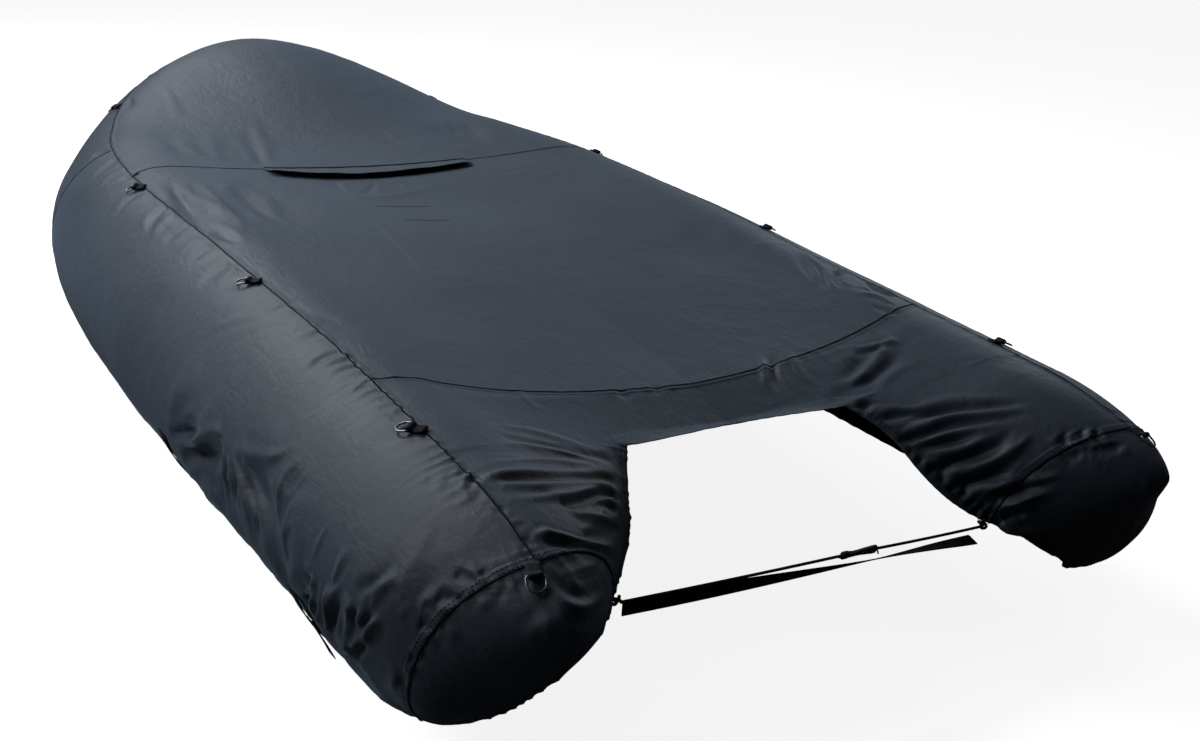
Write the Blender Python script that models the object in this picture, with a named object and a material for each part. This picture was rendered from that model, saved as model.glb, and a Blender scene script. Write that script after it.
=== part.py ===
"""Fitted cloth cover, in metres, +Z up, +X to starboard and +Y to the bow.

The cloth has the shape of a horseshoe of round rolls that curves in and rises towards the bow and ends
in two tapered cones at the stern. Working heights count from the surface below the cover and working lengths
from near the stern. At the end every point moves so that the origin lies under the cloth, on the centre
line, where the deck is held up.
"""

import math

import bmesh
import bpy
import numpy as np
from mathutils import Matrix, Vector
from mathutils.bvhtree import BVHTree

# Cloth and gaps
CLOTH = 0.002
SEAM_GAP = 0.0007  # what each panel gives up along its edge
SEAT_GAP = 0.0008  # between the cloth and a piece that lies on it

# The horseshoe of rolls, by its centre line
HALF_SPACING = 0.55
AXIS_HEIGHT = 0.23
BOW_START = 1.34
BOW_LENGTH = 1.49
BOW_WIDTH_POWER = 1.75
BOW_LENGTH_POWER = 3.34
SHEER_START = 2.37
SHEER_RISE = 0.157
SHEER_POWER = 1.8
RADIUS_STERN = 0.205
RADIUS_MIDDLE = 0.245
RADIUS_BOW = 0.258

# The tapered cones at the stern
CONE_START = 0.22
CONE_LENGTH = 0.31
CONE_POWER = 1.5
CONE_ROUNDING = 1.21
CONE_TIP_RISE = 0.109
CONE_TIP_OUT = 0.025
CONE_SHIFT_POWER = 1.47

# Seams. An angle of 90 is the top of a roll, 0 its outer side and 180 its inner side.
SIDE_SEAM_Y = (0.7, 2.4, 2.7)
SIDE_SEAM_ANGLE = (81.5, 65.0, 55.0)
SIDE_HEM_ANGLE = -48.0
CAP_SEAM_TOP = 0.006
CAP_SEAM_SLANT = 0.145
CAP_SEAM_SKEW = 0.01
HEM_CORNER_ANGLE = {-1.0: 186.0, 1.0: 198.0}  # port and starboard
LEG_HEM_RISE = {-1.0: 6.0, 1.0: 12.0}  # degrees by which a leg's inner hem climbs half way along
REAR_SEAM_Y = 0.55
REAR_SEAM_BOW = -0.065
FRONT_SEAM_Y = 1.885
FRONT_SEAM_BOW = 0.05
BOW_SIDE_SEAM_Y = 2.15
NOTCH_HALF_WIDTH = 0.23
NOTCH_Y = 0.335
NOTCH_ROW_SEAM_Y = 0.27

# How far the deck sags between the rolls: the slope where it leaves them, in degrees
SAG_Y = (0.25, 0.48, 1.0, 2.1, 2.6)
SAG_SLOPE = (27.0, 15.0, 10.5, 10.5, 5.0)
SAG_REACH = 0.25

# Panel meshes
LEG_ROWS = 16
STERN_ROWS = 4
MID_ROWS = 14
MID_SPREAD = 1.4  # above 1 the rows lie closer towards the stern
BOW_SIDE_STEPS = 3
BOW_STEPS = 6
BOW_DECK_ROWS = 7
SIDE_HEM_STEPS = 10
CAP_ROWS = 6
# How far across the half deck each column lies, from the side seam to the centre line
COLUMNS = (1.0, 0.94, 0.86, 0.76, 0.66, 0.54, 0.4, 0.27, 0.13, 0.0)
LEG_COLUMNS = 6

# Folds across a roll. Columns: side (-1.0 port), first y and angle, last y and angle, half width, and depth,
# which is below 0 where the cloth stands out
ROLL_FOLDS = (
    # two dents on the port side and the fan of creases behind them
    (-1.0, 1.02, -8.0, 0.83, 8.0, 0.035, 0.014),
    (-1.0, 0.95, -18.0, 0.73, 5.0, 0.035, 0.018),
    (-1.0, 0.72, 14.0, 0.76, -30.0, 0.028, 0.009),
    (-1.0, 0.70, 12.0, 0.66, -32.0, 0.028, 0.009),
    (-1.0, 0.68, 18.0, 0.48, 3.0, 0.045, 0.012),
    (-1.0, 0.48, 3.0, 0.45, -38.0, 0.035, 0.012),
    (-1.0, 0.46, 36.0, 0.47, 8.0, 0.028, 0.007),
    (-1.0, 0.35, 8.0, 0.40, -36.0, 0.024, 0.009),
    (-1.0, 0.27, 4.0, 0.30, -36.0, 0.022, 0.009),
    (-1.0, 0.20, -5.0, 0.23, -36.0, 0.022, 0.008),
    # the port leg, dragged in from the corner of the notch
    (-1.0, 0.31, 150.0, 0.30, 100.0, 0.020, 0.008),
    (-1.0, 0.27, 152.0, 0.235, 94.0, 0.020, 0.010),
    (-1.0, 0.23, 156.0, 0.18, 88.0, 0.020, 0.009),
    (-1.0, 0.19, 160.0, 0.13, 92.0, 0.018, 0.008),
    # the starboard leg, gathered along its inner hem
    (1.0, 0.29, 176.0, 0.22, 122.0, 0.018, 0.010),
    (1.0, 0.235, 180.0, 0.165, 112.0, 0.020, 0.012),
    (1.0, 0.18, 184.0, 0.11, 108.0, 0.018, 0.011),
    (1.0, 0.13, 186.0, 0.06, 118.0, 0.016, 0.009),
    # the caps
    (-1.0, -0.01, 92.0, -0.04, 142.0, 0.022, 0.007),
    (1.0, -0.01, 128.0, -0.06, 150.0, 0.020, 0.006),
    # the full lower corners of the ends
    (-1.0, 0.090, -42.0, 0.095, -43.0, 0.070, -0.020),
    (1.0, 0.115, -37.0, 0.111, -38.0, 0.120, -0.064),
    (1.0, 0.008, -44.0, 0.004, -46.0, 0.070, -0.016),
    # the starboard side
    (1.0, 1.25, 40.0, 1.05, 5.0, 0.040, 0.010),
    (1.0, 0.75, 35.0, 0.60, -10.0, 0.045, 0.012),
    (1.0, 0.36, 20.0, 0.30, -30.0, 0.030, 0.009),
)
# Folds on the deck. Columns: first x and y, last x and y, half width, depth
DECK_FOLDS = (
    (-0.55, 1.86, -0.59, 1.40, 0.045, 0.007),
    (-0.46, 1.84, -0.52, 1.38, 0.045, 0.007),
    (-0.36, 1.88, -0.43, 1.30, 0.045, 0.006),
    (0.34, 2.30, 0.33, 2.02, 0.060, 0.008),
    (0.50, 1.20, 0.30, 0.90, 0.060, 0.006),
    (-0.26, 1.90, 0.20, 1.86, 0.035, 0.005),
)

# Hood over the vent, on the front seam
VENT_X = (-0.298, 0.25)
VENT_DEPTH = (0.06, 0.045)  # at the ends, and more by this much near the middle
VENT_SKEW = 0.8
VENT_OVERLAP = 0.006
VENT_RISE = 0.013
VENT_EDGE = 0.16  # part of the half width over which the hood comes down
VENT_STEPS = 14
VENT_ROWS = 3

# Webbing loops and the D-rings in them
WEBBING = 0.02
WEBBING_THICKNESS = 0.002
LOOP_LENGTH = 0.024
LOOP_LAYER_GAP = 0.0004
LOOP_EYE = 0.004
LOOP_EYE_ANGLES = (-45.0, 0.0, 45.0, 90.0, 135.0)
LOOP_THROAT = 0.008
RING_WIRE = 0.002
RING_HALF_WIDTH = 0.0127
RING_DEPTH = 0.024
RING_ARC = (30.0, 60.0, 90.0, 120.0, 150.0)
RING_SIDES = 6
RING_CLEAR = 0.003
# Columns: side, number, y on the side seam and how far the loop is turned, in degrees
SIDE_LOOPS = (
    (-1.0, 1, 2.56, -30.0),
    (-1.0, 2, 1.76, -40.0),
    (-1.0, 3, 1.04, -40.0),
    (-1.0, 4, 0.345, -52.0),
    (1.0, 1, 2.56, 25.0),
    (1.0, 2, 1.88, 25.0),
    (1.0, 3, 1.08, 15.0),
    (1.0, 4, 0.34, -10.0),
)
# Columns: side, number, angle on the cap seam and how far the loop is turned, in degrees
CAP_LOOPS = ((-1.0, 5, 78.0, -20.0), (1.0, 5, 80.0, 10.0))

# Webbing tabs low on the port side; the same are on starboard.
# Columns: width, then y, angle and distance off the roll along each ribbon
TAB_TURN = ((-15.0, 0.0026), (-26.0, 0.003), (-38.0, 0.003), (-48.0, 0.003), (-58.0, 0.004))
HEM_TABS = (
    (0.045, [(1.085, *turn) for turn in TAB_TURN]),
    (0.045, [(0.425, *turn) for turn in TAB_TURN]),
    (0.025, [(0.395, -27.0, 0.003), (0.370, -29.0, 0.004), (0.345, -31.0, 0.006), (0.318, -32.0, 0.009)]),
)

# Elastic cord and strap across the stern
CORD_RADIUS = 0.0025
CORD_STEP = 0.0125
CORD_END = {-1.0: Vector((-0.378, 0.100, 0.2350)), 1.0: Vector((0.368, 0.100, 0.2060))}
CORD_SAG = 0.001
HOOK_X = 0.082
HOOK_LENGTH = 0.084
HOOK_THICKNESS = 0.006
HOOK_HOLE = (0.009, 0.003)  # along the hook and radius
HOOK_END_GAP = 0.0004
# Outline of the hook, from its centre. Columns: along and across
HOOK_OUTLINE = (
    (0.042, 0.001),
    (0.038, 0.0055),
    (0.029, 0.008),
    (0.012, 0.0075),
    (-0.004, 0.005),
    (-0.017, 0.0045),
    (-0.030, 0.0065),
    (-0.039, 0.0045),
    (-0.042, 0.0),
    (-0.038, -0.005),
    (-0.026, -0.007),
    (-0.010, -0.0055),
    (0.008, -0.006),
    (0.024, -0.008),
    (0.038, -0.0055),
)
STRAP_WIDTH = 0.025
# Columns: x, y, z and the turn of the strap's width from level, in degrees
STRAP = (
    (-0.367, 0.110, 0.2165, 84.0),
    (-0.300, 0.110, 0.2128, 84.0),
    (-0.220, 0.110, 0.2083, 90.0),
    (-0.130, 0.110, 0.2032, 102.0),
    (-0.040, 0.110, 0.1975, 118.0),
    (0.050, 0.110, 0.1920, 133.0),
    (0.130, 0.110, 0.1880, 145.0),
    (0.200, 0.110, 0.1850, 158.0),
    (0.270, 0.110, 0.1820, 174.0),
    (0.320, 0.110, 0.1790, 186.0),
    (0.362, 0.110, 0.1765, 194.0),
)

# Origin: under the cloth where it is held up
HOLD_Y = 1.62


def rail_points():
    """The starboard centre line of the rolls from the cones to the bow, as lengths, x and y."""
    straight = np.linspace(CONE_START, BOW_START, 60)
    turn = (1.0 - np.cos(np.linspace(0.0, math.pi, 240))) / 2.0 * math.pi / 2.0
    narrowing = np.cos(turn[1:]).clip(0.0) ** (2.0 / BOW_WIDTH_POWER)
    x = np.concatenate([np.full(60, HALF_SPACING), HALF_SPACING * narrowing])
    y = np.concatenate([straight, BOW_START + BOW_LENGTH * np.sin(turn[1:]) ** (2.0 / BOW_LENGTH_POWER)])
    length = np.concatenate([[0.0], np.cumsum(np.hypot(np.diff(x), np.diff(y)))])
    return length, x, y


RAIL_S, RAIL_X, RAIL_Y = rail_points()
RAIL_END = float(RAIL_S[-1])


def mix(a, b, t):
    return a + (b - a) * t


def roll(s):
    """Centre, outward direction in plan and radius of the starboard roll at length s; s < 0 is the cone."""
    if s < 0.0:
        part = min(-s / CONE_LENGTH, 0.999)
        radius = RADIUS_STERN * (1.0 - part**CONE_POWER) ** (1.0 / CONE_ROUNDING)
        shift = part**CONE_SHIFT_POWER
        x, z = HALF_SPACING + CONE_TIP_OUT * shift, AXIS_HEIGHT + CONE_TIP_RISE * shift
        return Vector((x, CONE_START + s, z)), Vector((1.0, 0.0, 0.0)), radius
    x, y = np.interp(s, RAIL_S, RAIL_X), np.interp(s, RAIL_S, RAIL_Y)
    ahead, behind = min(s + 0.03, RAIL_END), max(s - 0.03, 0.0)
    run_x = np.interp(ahead, RAIL_S, RAIL_X) - np.interp(behind, RAIL_S, RAIL_X)
    run_y = np.interp(ahead, RAIL_S, RAIL_Y) - np.interp(behind, RAIL_S, RAIL_Y)
    outward = Vector((run_y, -run_x, 0.0)).normalized()
    if s > RAIL_END - 0.002:
        outward = Vector((0.0, 1.0, 0.0))
    return Vector((x, y, axis_height(y))), outward, roll_radius(y)


def axis_height(y):
    forward = max(0.0, (y - SHEER_START) / (BOW_START + BOW_LENGTH - SHEER_START))
    return AXIS_HEIGHT + SHEER_RISE * forward**SHEER_POWER


def roll_radius(y):
    radii = (RADIUS_STERN, RADIUS_MIDDLE, RADIUS_BOW)
    return float(np.interp(y, (CONE_START, BOW_START, BOW_START + BOW_LENGTH), radii))


def on_roll(s, angle, stretch=1.0):
    """Point of the starboard cloth at length s and an angle in degrees round the roll."""
    centre, outward, radius = roll(s)
    turn = math.radians(angle)
    return centre + (outward * math.cos(turn) + Vector((0.0, 0.0, math.sin(turn)))) * radius * stretch


def length_at(y):
    """Length along the rail where its y is reached."""
    return y - CONE_START if y < CONE_START else float(np.interp(y, RAIL_Y, RAIL_S))


def seam_angle(s):
    y = CONE_START + s if s < 0.0 else float(np.interp(s, RAIL_S, RAIL_Y))
    return float(np.interp(y, SIDE_SEAM_Y, SIDE_SEAM_ANGLE))


def cap_seam_s(angle):
    """Length at which the cap seam crosses an angle round the cone."""
    turn = math.radians(angle)
    y = CAP_SEAM_TOP + CAP_SEAM_SLANT * (1.0 - math.sin(turn)) / 2.0 - CAP_SEAM_SKEW * math.cos(turn)
    return y - CONE_START


def deck_height(x, y):
    """Height of the deck cloth over a plan point: on the rolls' tops, and sagging between them."""
    near = int(np.argmin((RAIL_X - abs(x)) ** 2 + (RAIL_Y - y) ** 2))
    centre, outward, radius = roll(float(RAIL_S[near]))
    inboard = math.hypot(abs(x) - centre.x, y - centre.y)
    if (abs(x) - centre.x) * outward.x + (y - centre.y) * outward.y > 0.0:
        inboard = -inboard
    slope = math.radians(float(np.interp(y, SAG_Y, SAG_SLOPE)))
    leave = radius * math.sin(slope)
    if inboard <= leave:
        return centre.z + math.sqrt(max(radius**2 - inboard**2, 0.0))
    drop = math.tan(slope) * SAG_REACH * (1.0 - math.exp(-(inboard - leave) / SAG_REACH))
    return centre.z + radius * math.cos(slope) - drop


def mirrored(point, side):
    return Vector((point.x * side, point.y, point.z))


# The side seam is sampled once, and every panel that meets it uses these lengths.
RING_S = cap_seam_s(SIDE_SEAM_ANGLE[0])
NOTCH_ROW = LEG_ROWS
REAR_ROW = LEG_ROWS + STERN_ROWS
FRONT_ROW = REAR_ROW + MID_ROWS
BOW_SIDE_ROW = FRONT_ROW + BOW_SIDE_STEPS
TIP_ROW = BOW_SIDE_ROW + BOW_STEPS
SEAM_STATIONS = np.interp(
    range(TIP_ROW + 1),
    (0, NOTCH_ROW, REAR_ROW, FRONT_ROW, BOW_SIDE_ROW, TIP_ROW),
    (
        RING_S,
        length_at(NOTCH_ROW_SEAM_Y),
        length_at(REAR_SEAM_Y),
        length_at(FRONT_SEAM_Y),
        length_at(BOW_SIDE_SEAM_Y),
        RAIL_END,
    ),
)
for mid_row in range(REAR_ROW, FRONT_ROW):
    SEAM_STATIONS[mid_row] = mix(
        length_at(REAR_SEAM_Y), length_at(FRONT_SEAM_Y), ((mid_row - REAR_ROW) / MID_ROWS) ** MID_SPREAD
    )


def seam_point(row):
    s = float(SEAM_STATIONS[row])
    return on_roll(s, seam_angle(s))


def deck_row(row, bow):
    """A row of deck points from the port side seam to starboard, bowed by `bow` at the centre line."""
    end = seam_point(row)
    row_points = []
    for side, columns in ((-1.0, COLUMNS), (1.0, COLUMNS[-2::-1])):
        for across in columns:
            x, y = end.x * across, end.y + bow * (1.0 - across**2)
            height = end.z if across == 1.0 else deck_height(x, y)
            row_points.append(Vector((x * side, y, height)))
    return row_points


def notch_row():
    """The row that ends in the notch edge: level in the notch, wide of it at the height of the deck."""
    row_points = deck_row(NOTCH_ROW, NOTCH_Y - NOTCH_ROW_SEAM_Y)
    half = len(COLUMNS) - 1
    edge_height = deck_height(NOTCH_HALF_WIDTH, NOTCH_Y)
    for index, point in enumerate(row_points):
        step = half - abs(index - half)
        side = -1.0 if index < half else 1.0
        if step >= LEG_COLUMNS:
            inward = (step - LEG_COLUMNS) / (half - LEG_COLUMNS)
            point.x = side * NOTCH_HALF_WIDTH * (1.0 - inward)
            point.y = NOTCH_Y
            point.z = edge_height + 0.006 * math.sin(inward * math.pi / 2.0)
        else:
            reach = (1.0 - COLUMNS[step]) / (1.0 - COLUMNS[LEG_COLUMNS])
            end = seam_point(NOTCH_ROW)
            point.x = side * mix(end.x, NOTCH_HALF_WIDTH, reach)
            point.y = mix(end.y, NOTCH_Y, reach)
            point.z = end.z if step == 0 else deck_height(point.x, point.y)
    return row_points


def leg_rows(side):
    """Rows of the stern deck's leg from the cap seam (first) to the notch row, seam to inner hem."""
    half = len(COLUMNS) - 1
    last = notch_row()
    last_row = [mirrored(last[k if side < 0 else 2 * half - k], side) for k in range(LEG_COLUMNS + 1)]
    centre, _, radius = roll(length_at(NOTCH_Y))
    rows = []
    for row in range(NOTCH_ROW):
        share = row / NOTCH_ROW
        row_points = []
        for k in range(LEG_COLUMNS + 1):
            reach = (1.0 - COLUMNS[k]) / (1.0 - COLUMNS[LEG_COLUMNS])
            first_angle = mix(seam_angle(RING_S), HEM_CORNER_ANGLE[side], reach)
            first_s = cap_seam_s(first_angle)
            polar = last_row[k] - centre
            last_angle = math.degrees(math.atan2(polar.z, polar.x))
            last_stretch = math.hypot(polar.x, polar.z) / radius
            last_s = length_at(last_row[k].y)
            if k == 0:
                row_points.append(seam_point(row))
                continue
            s = mix(first_s, last_s, share)
            angle = mix(first_angle, last_angle, share) - LEG_HEM_RISE[side] * reach * math.sin(math.pi * share)
            point = on_roll(s, angle, mix(1.0, last_stretch, share**1.15))
            row_points.append(point)
        rows.append([mirrored(point, side) for point in row_points])
    rows.append([mirrored(point, side) for point in last_row])
    return rows


def hem_curve(table, share):
    """Point of a cap's hem, in the end view of the unit cone, between the hem corner (0) and outside (1)."""
    shares = np.linspace(0.0, 1.0, len(table))
    return (
        float(np.interp(share, shares, [row[0] for row in table])),
        float(np.interp(share, shares, [row[1] for row in table])),
    )


def on_cone(out, up):
    """Point of the cone whose end view is (out, up) in radii of the cone."""
    size = min(math.hypot(out, up), 0.995)
    part = (1.0 - size**CONE_ROUNDING) ** (1.0 / CONE_POWER)
    return on_roll(-part * CONE_LENGTH, math.degrees(math.atan2(up, out)))


# Cap hems in the end view of each cone: columns are outward and upward, in radii of the cone
CAP_HEM_PORT = ((-0.45, -0.14), (-0.2, -0.3), (-0.02, -0.5), (0.14, -0.68))
CAP_HEM_STARBOARD = ((-0.62, -0.38), (-0.38, -0.56), (-0.1, -0.68), (0.14, -0.76))


class Cloth:
    """All panels as one surface, so that both sides of a seam share their points and normals."""

    def __init__(self):
        self.points = []
        self.index = {}
        self.panels = {}

    def point(self, position):
        key = tuple(round(value, 5) for value in position)
        if key not in self.index:
            self.index[key] = len(self.points)
            self.points.append(Vector(position))
        return self.index[key]

    def add_grid(self, name, rows):
        """Faces of a grid of points, wound so that they face out when rows run across from the left."""
        grid = [[self.point(position) for position in row] for row in rows]
        faces = self.panels.setdefault(name, [])
        for low, high in zip(grid, grid[1:]):
            for a, b, c, d in zip(low, low[1:], high[1:], high):
                across = (self.points[a] - self.points[c]).length < (self.points[b] - self.points[d]).length
                halves = ((a, b, c), (a, c, d)) if across else ((b, c, d), (b, d, a))
                faces += [list(half) for half in halves if len(set(half)) > 2]

    def normals(self):
        totals = [Vector() for _ in self.points]
        for faces in self.panels.values():
            for face in faces:
                corners = [self.points[v] for v in face]
                normal = (corners[2] - corners[0]).cross(corners[-1] - corners[1])
                for v in face:
                    totals[v] += normal
        return [total.normalized() for total in totals]

    def press(self, folds):
        """Push the cloth in along folds, each a start, an end, a half width and a depth."""
        for point, normal in zip(self.points, self.normals()):
            push = 0.0
            for start, end, width, depth in folds:
                run = end - start
                share = min(max((point - start).dot(run) / run.length_squared, 0.0), 1.0)
                push += depth * math.exp(-(((point - start - run * share).length / width) ** 2))
            point -= normal * push

    def tree(self):
        return BVHTree.FromPolygons(self.points, [face for faces in self.panels.values() for face in faces])


def border_insets(cloth, faces, normals):
    """The border edges of a panel and how far each of its border points moves in, square to both edges."""
    edge_use = {}
    for face in faces:
        for a, b in zip(face, face[1:] + face[:1]):
            edge_use.setdefault(frozenset((a, b)), []).append((a, b))
    border = [uses[0] for uses in edge_use.values() if len(uses) == 1]
    inward = {}
    for a, b in border:
        run = cloth.points[b] - cloth.points[a]
        for v in (a, b):
            inward.setdefault(v, []).append(normals[v].cross(run).normalized())
    moves = {}
    for v, (first, second) in inward.items():
        moves[v] = (first + second) * (SEAM_GAP / max(1.0 + first.dot(second), 0.3))
    return border, moves


def shell_mesh(name, cloth, normals):
    """A closed sheet: the panel's faces, the same faces one cloth thickness inside, and the edges."""
    faces = cloth.panels[name]
    border, moves = border_insets(cloth, faces, normals)
    mesh = bmesh.new()
    outer, inner = {}, {}
    for v in sorted({v for face in faces for v in face}):
        position = cloth.points[v] + moves.get(v, Vector())
        outer[v] = mesh.verts.new(position)
        inner[v] = mesh.verts.new(position - normals[v] * CLOTH)
    for face in faces:
        mesh.faces.new([outer[v] for v in face])
        mesh.faces.new([inner[v] for v in reversed(face)])
    for a, b in border:
        mesh.faces.new([outer[b], outer[a], inner[a], inner[b]])
    return mesh


def build_cloth():
    """Every panel of the cover as faces of one surface."""
    cloth = Cloth()
    cap_rows_angles = np.linspace(SIDE_HEM_ANGLE, SIDE_SEAM_ANGLE[0], SIDE_HEM_STEPS + 1)
    # decks
    port_leg, starboard_leg = leg_rows(-1.0), leg_rows(1.0)
    cloth.add_grid("panel_stern_deck", port_leg)
    cloth.add_grid("panel_stern_deck", [row[::-1] for row in starboard_leg])
    stern = [notch_row()]
    for row in range(NOTCH_ROW + 1, REAR_ROW + 1):
        share = (row - NOTCH_ROW) / STERN_ROWS
        stern.append(deck_row(row, mix(NOTCH_Y - NOTCH_ROW_SEAM_Y, REAR_SEAM_BOW, share)))
    cloth.add_grid("panel_stern_deck", stern)
    middle = []
    for row in range(REAR_ROW, FRONT_ROW + 1):
        share = ((row - REAR_ROW) / MID_ROWS) ** MID_SPREAD
        middle.append(deck_row(row, mix(REAR_SEAM_BOW, FRONT_SEAM_BOW, share)))
    cloth.add_grid("panel_mid_deck", middle)
    front = middle[-1]
    arc_rows = list(range(FRONT_ROW, TIP_ROW + 1))
    arc = [mirrored(seam_point(row), -1.0) for row in arc_rows]
    arc += [seam_point(row) for row in arc_rows[-2::-1]]
    bow = [front]
    for row in range(1, BOW_DECK_ROWS):
        share = row / BOW_DECK_ROWS
        line = []
        for low, high in zip(front, arc):
            x, y = mix(low.x, high.x, share), mix(low.y, high.y, share)
            short = (high - low).length < 1e-6
            line.append(low.copy() if short else Vector((x, y, deck_height(x, y))))
        bow.append(line)
    bow.append(arc)
    cloth.add_grid("panel_bow_deck", bow)
    # sides
    for side, word in ((-1.0, "port"), (1.0, "starboard")):
        rows = []
        for row in range(BOW_SIDE_ROW + 1):
            share = (SEAM_STATIONS[row] - RING_S) / (SEAM_STATIONS[BOW_SIDE_ROW] - RING_S)
            line = []
            for angle_share in np.linspace(0.0, 1.0, SIDE_HEM_STEPS + 1):
                first = cap_seam_s(mix(SIDE_HEM_ANGLE, SIDE_SEAM_ANGLE[0], angle_share))
                s = mix(first, float(SEAM_STATIONS[BOW_SIDE_ROW]), float(share))
                if angle_share == 1.0:
                    s = float(SEAM_STATIONS[row])
                line.append(mirrored(on_roll(s, mix(SIDE_HEM_ANGLE, seam_angle(s), angle_share)), side))
            rows.append(line if side < 0 else line[::-1])
        cloth.add_grid(f"panel_side_{word}", rows)
    wrap = []
    round_bow = range(BOW_SIDE_ROW, TIP_ROW + 1)
    for side, rows in ((-1.0, round_bow), (1.0, round_bow[-2::-1])):
        for row in rows:
            s = float(SEAM_STATIONS[row])
            wrap.append(
                [
                    mirrored(on_roll(s, mix(SIDE_HEM_ANGLE, seam_angle(s), share)), side)
                    for share in np.linspace(0.0, 1.0, SIDE_HEM_STEPS + 1)
                ]
            )
    cloth.add_grid("panel_bow_side", wrap)
    # caps
    for side, word, hem in ((-1.0, "port", CAP_HEM_PORT), (1.0, "starboard", CAP_HEM_STARBOARD)):
        inner_angles = [
            mix(SIDE_SEAM_ANGLE[0], HEM_CORNER_ANGLE[side], (1.0 - COLUMNS[k]) / (1.0 - COLUMNS[LEG_COLUMNS]))
            for k in range(1, LEG_COLUMNS + 1)
        ]
        angles = list(cap_rows_angles) + inner_angles
        ring = []
        for angle in angles:
            centre, _, radius = roll(cap_seam_s(angle))
            size = radius / RADIUS_STERN
            turn = math.radians(angle)
            ring.append((size * math.cos(turn), size * math.sin(turn)))
        corners = (ring[-1],) + hem + (ring[0],)
        lines = []
        for row in range(CAP_ROWS + 1):
            line = []
            for k, (out, up) in enumerate(ring):
                hem_out, hem_up = hem_curve(corners, 1.0 - k / (len(ring) - 1))
                share = row / CAP_ROWS
                if row == 0 or k in (0, len(ring) - 1):
                    point = on_roll(cap_seam_s(angles[k]), angles[k])
                else:
                    point = on_cone(mix(out, hem_out, share), mix(up, hem_up, share))
                line.append(mirrored(point, side))
            lines.append(line if side < 0 else line[::-1])
        cloth.add_grid(f"cap_{word}", lines[::-1])
    cloth.press(fold_lines())
    return cloth


def fold_lines():
    """The folds of both tables as points in space."""
    folds = []
    for side, y1, angle1, y2, angle2, width, depth in ROLL_FOLDS:
        start, end = (on_roll(length_at(y), angle) for y, angle in ((y1, angle1), (y2, angle2)))
        folds.append((mirrored(start, side), mirrored(end, side), width, depth))
    for x1, y1, x2, y2, width, depth in DECK_FOLDS:
        start, end = (Vector((x, y, deck_height(x, y))) for x, y in ((x1, y1), (x2, y2)))
        folds.append((start, end, width, depth))
    return folds


def sweep(sections, closed=False):
    """A solid through a row of sections, each the same number of points round its edge."""
    mesh = bmesh.new()
    loops = [[mesh.verts.new(point) for point in section] for section in sections]
    for low, high in zip(loops, loops[1:] + (loops[:1] if closed else [])):
        for a, b, c, d in zip(low, low[1:] + low[:1], high[1:] + high[:1], high):
            mesh.faces.new((a, b, c, d))
    if not closed:
        mesh.faces.new(loops[0])
        mesh.faces.new(loops[-1])
    bmesh.ops.recalc_face_normals(mesh, faces=mesh.faces)
    return mesh


def directions(points):
    """Direction of travel at each point of an open path."""
    ends = [points[0]] + list(points) + [points[-1]]
    return [(after - before).normalized() for before, after in zip(ends, ends[2:])]


def ribbon(points, across, width):
    """A flat band of webbing along a path; `across` holds the way its width lies at each point."""
    sections = []
    for point, run, way in zip(points, directions(points), across):
        flat = (way - run * way.dot(run)).normalized() * width / 2.0
        up = run.cross(flat).normalized() * WEBBING_THICKNESS / 2.0
        sections.append([point + flat + up, point - flat + up, point - flat - up, point + flat - up])
    mesh = sweep(sections)
    bmesh.ops.triangulate(mesh, faces=mesh.faces)
    return mesh


def vent_mesh():
    """The hood: flat on the cloth at its front and sides and raised along its aft edge."""
    tree = COVER.tree()
    hood = Cloth()
    rows = []
    for row in range(VENT_ROWS + 1):
        depth = row / VENT_ROWS
        line = []
        for step in range(VENT_STEPS + 1):
            share = step / VENT_STEPS
            x = mix(VENT_X[0], VENT_X[1], share)
            seam = FRONT_SEAM_Y + FRONT_SEAM_BOW * (1.0 - (x / seam_point(FRONT_ROW).x) ** 2)
            reach = VENT_DEPTH[0] + VENT_DEPTH[1] * math.sin(math.pi * share**VENT_SKEW)
            y = seam + VENT_OVERLAP - reach * depth
            hit = tree.ray_cast(Vector((x, y, 1.0)), Vector((0.0, 0.0, -1.0)))[0]
            rise = VENT_RISE * depth * min(1.0, min(share, 1.0 - share) / VENT_EDGE) ** 0.6
            line.append(hit + Vector((0.0, 0.0, SEAT_GAP + CLOTH + rise)))
        rows.append(line)
    hood.add_grid("vent_hood", rows[::-1])
    return shell_mesh("vent_hood", hood, hood.normals())


def seat(tree, spot, down, turn, reach):
    """Axes of a piece that lies on the cloth: its origin, and the ways across, down and out."""
    near, out, _, _ = tree.find_nearest(spot + down.normalized() * reach / 2.0)
    down = (down - out * down.dot(out)).normalized()
    down = Matrix.Rotation(math.radians(turn), 3, out) @ down
    across = down.cross(out)
    foot = spot - out * (spot - near).dot(out)
    lift = 0.0
    for along in np.linspace(0.0, 1.0, 5):
        for wide in (-0.5, 0.0, 0.5):
            place = foot + down * reach * float(along) + across * WEBBING * wide
            hit = tree.ray_cast(place + out * 0.05, -out)[0]
            if hit:
                lift = max(lift, (hit - place).dot(out))
    return foot + out * (lift + SEAT_GAP), across, down, out


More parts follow.
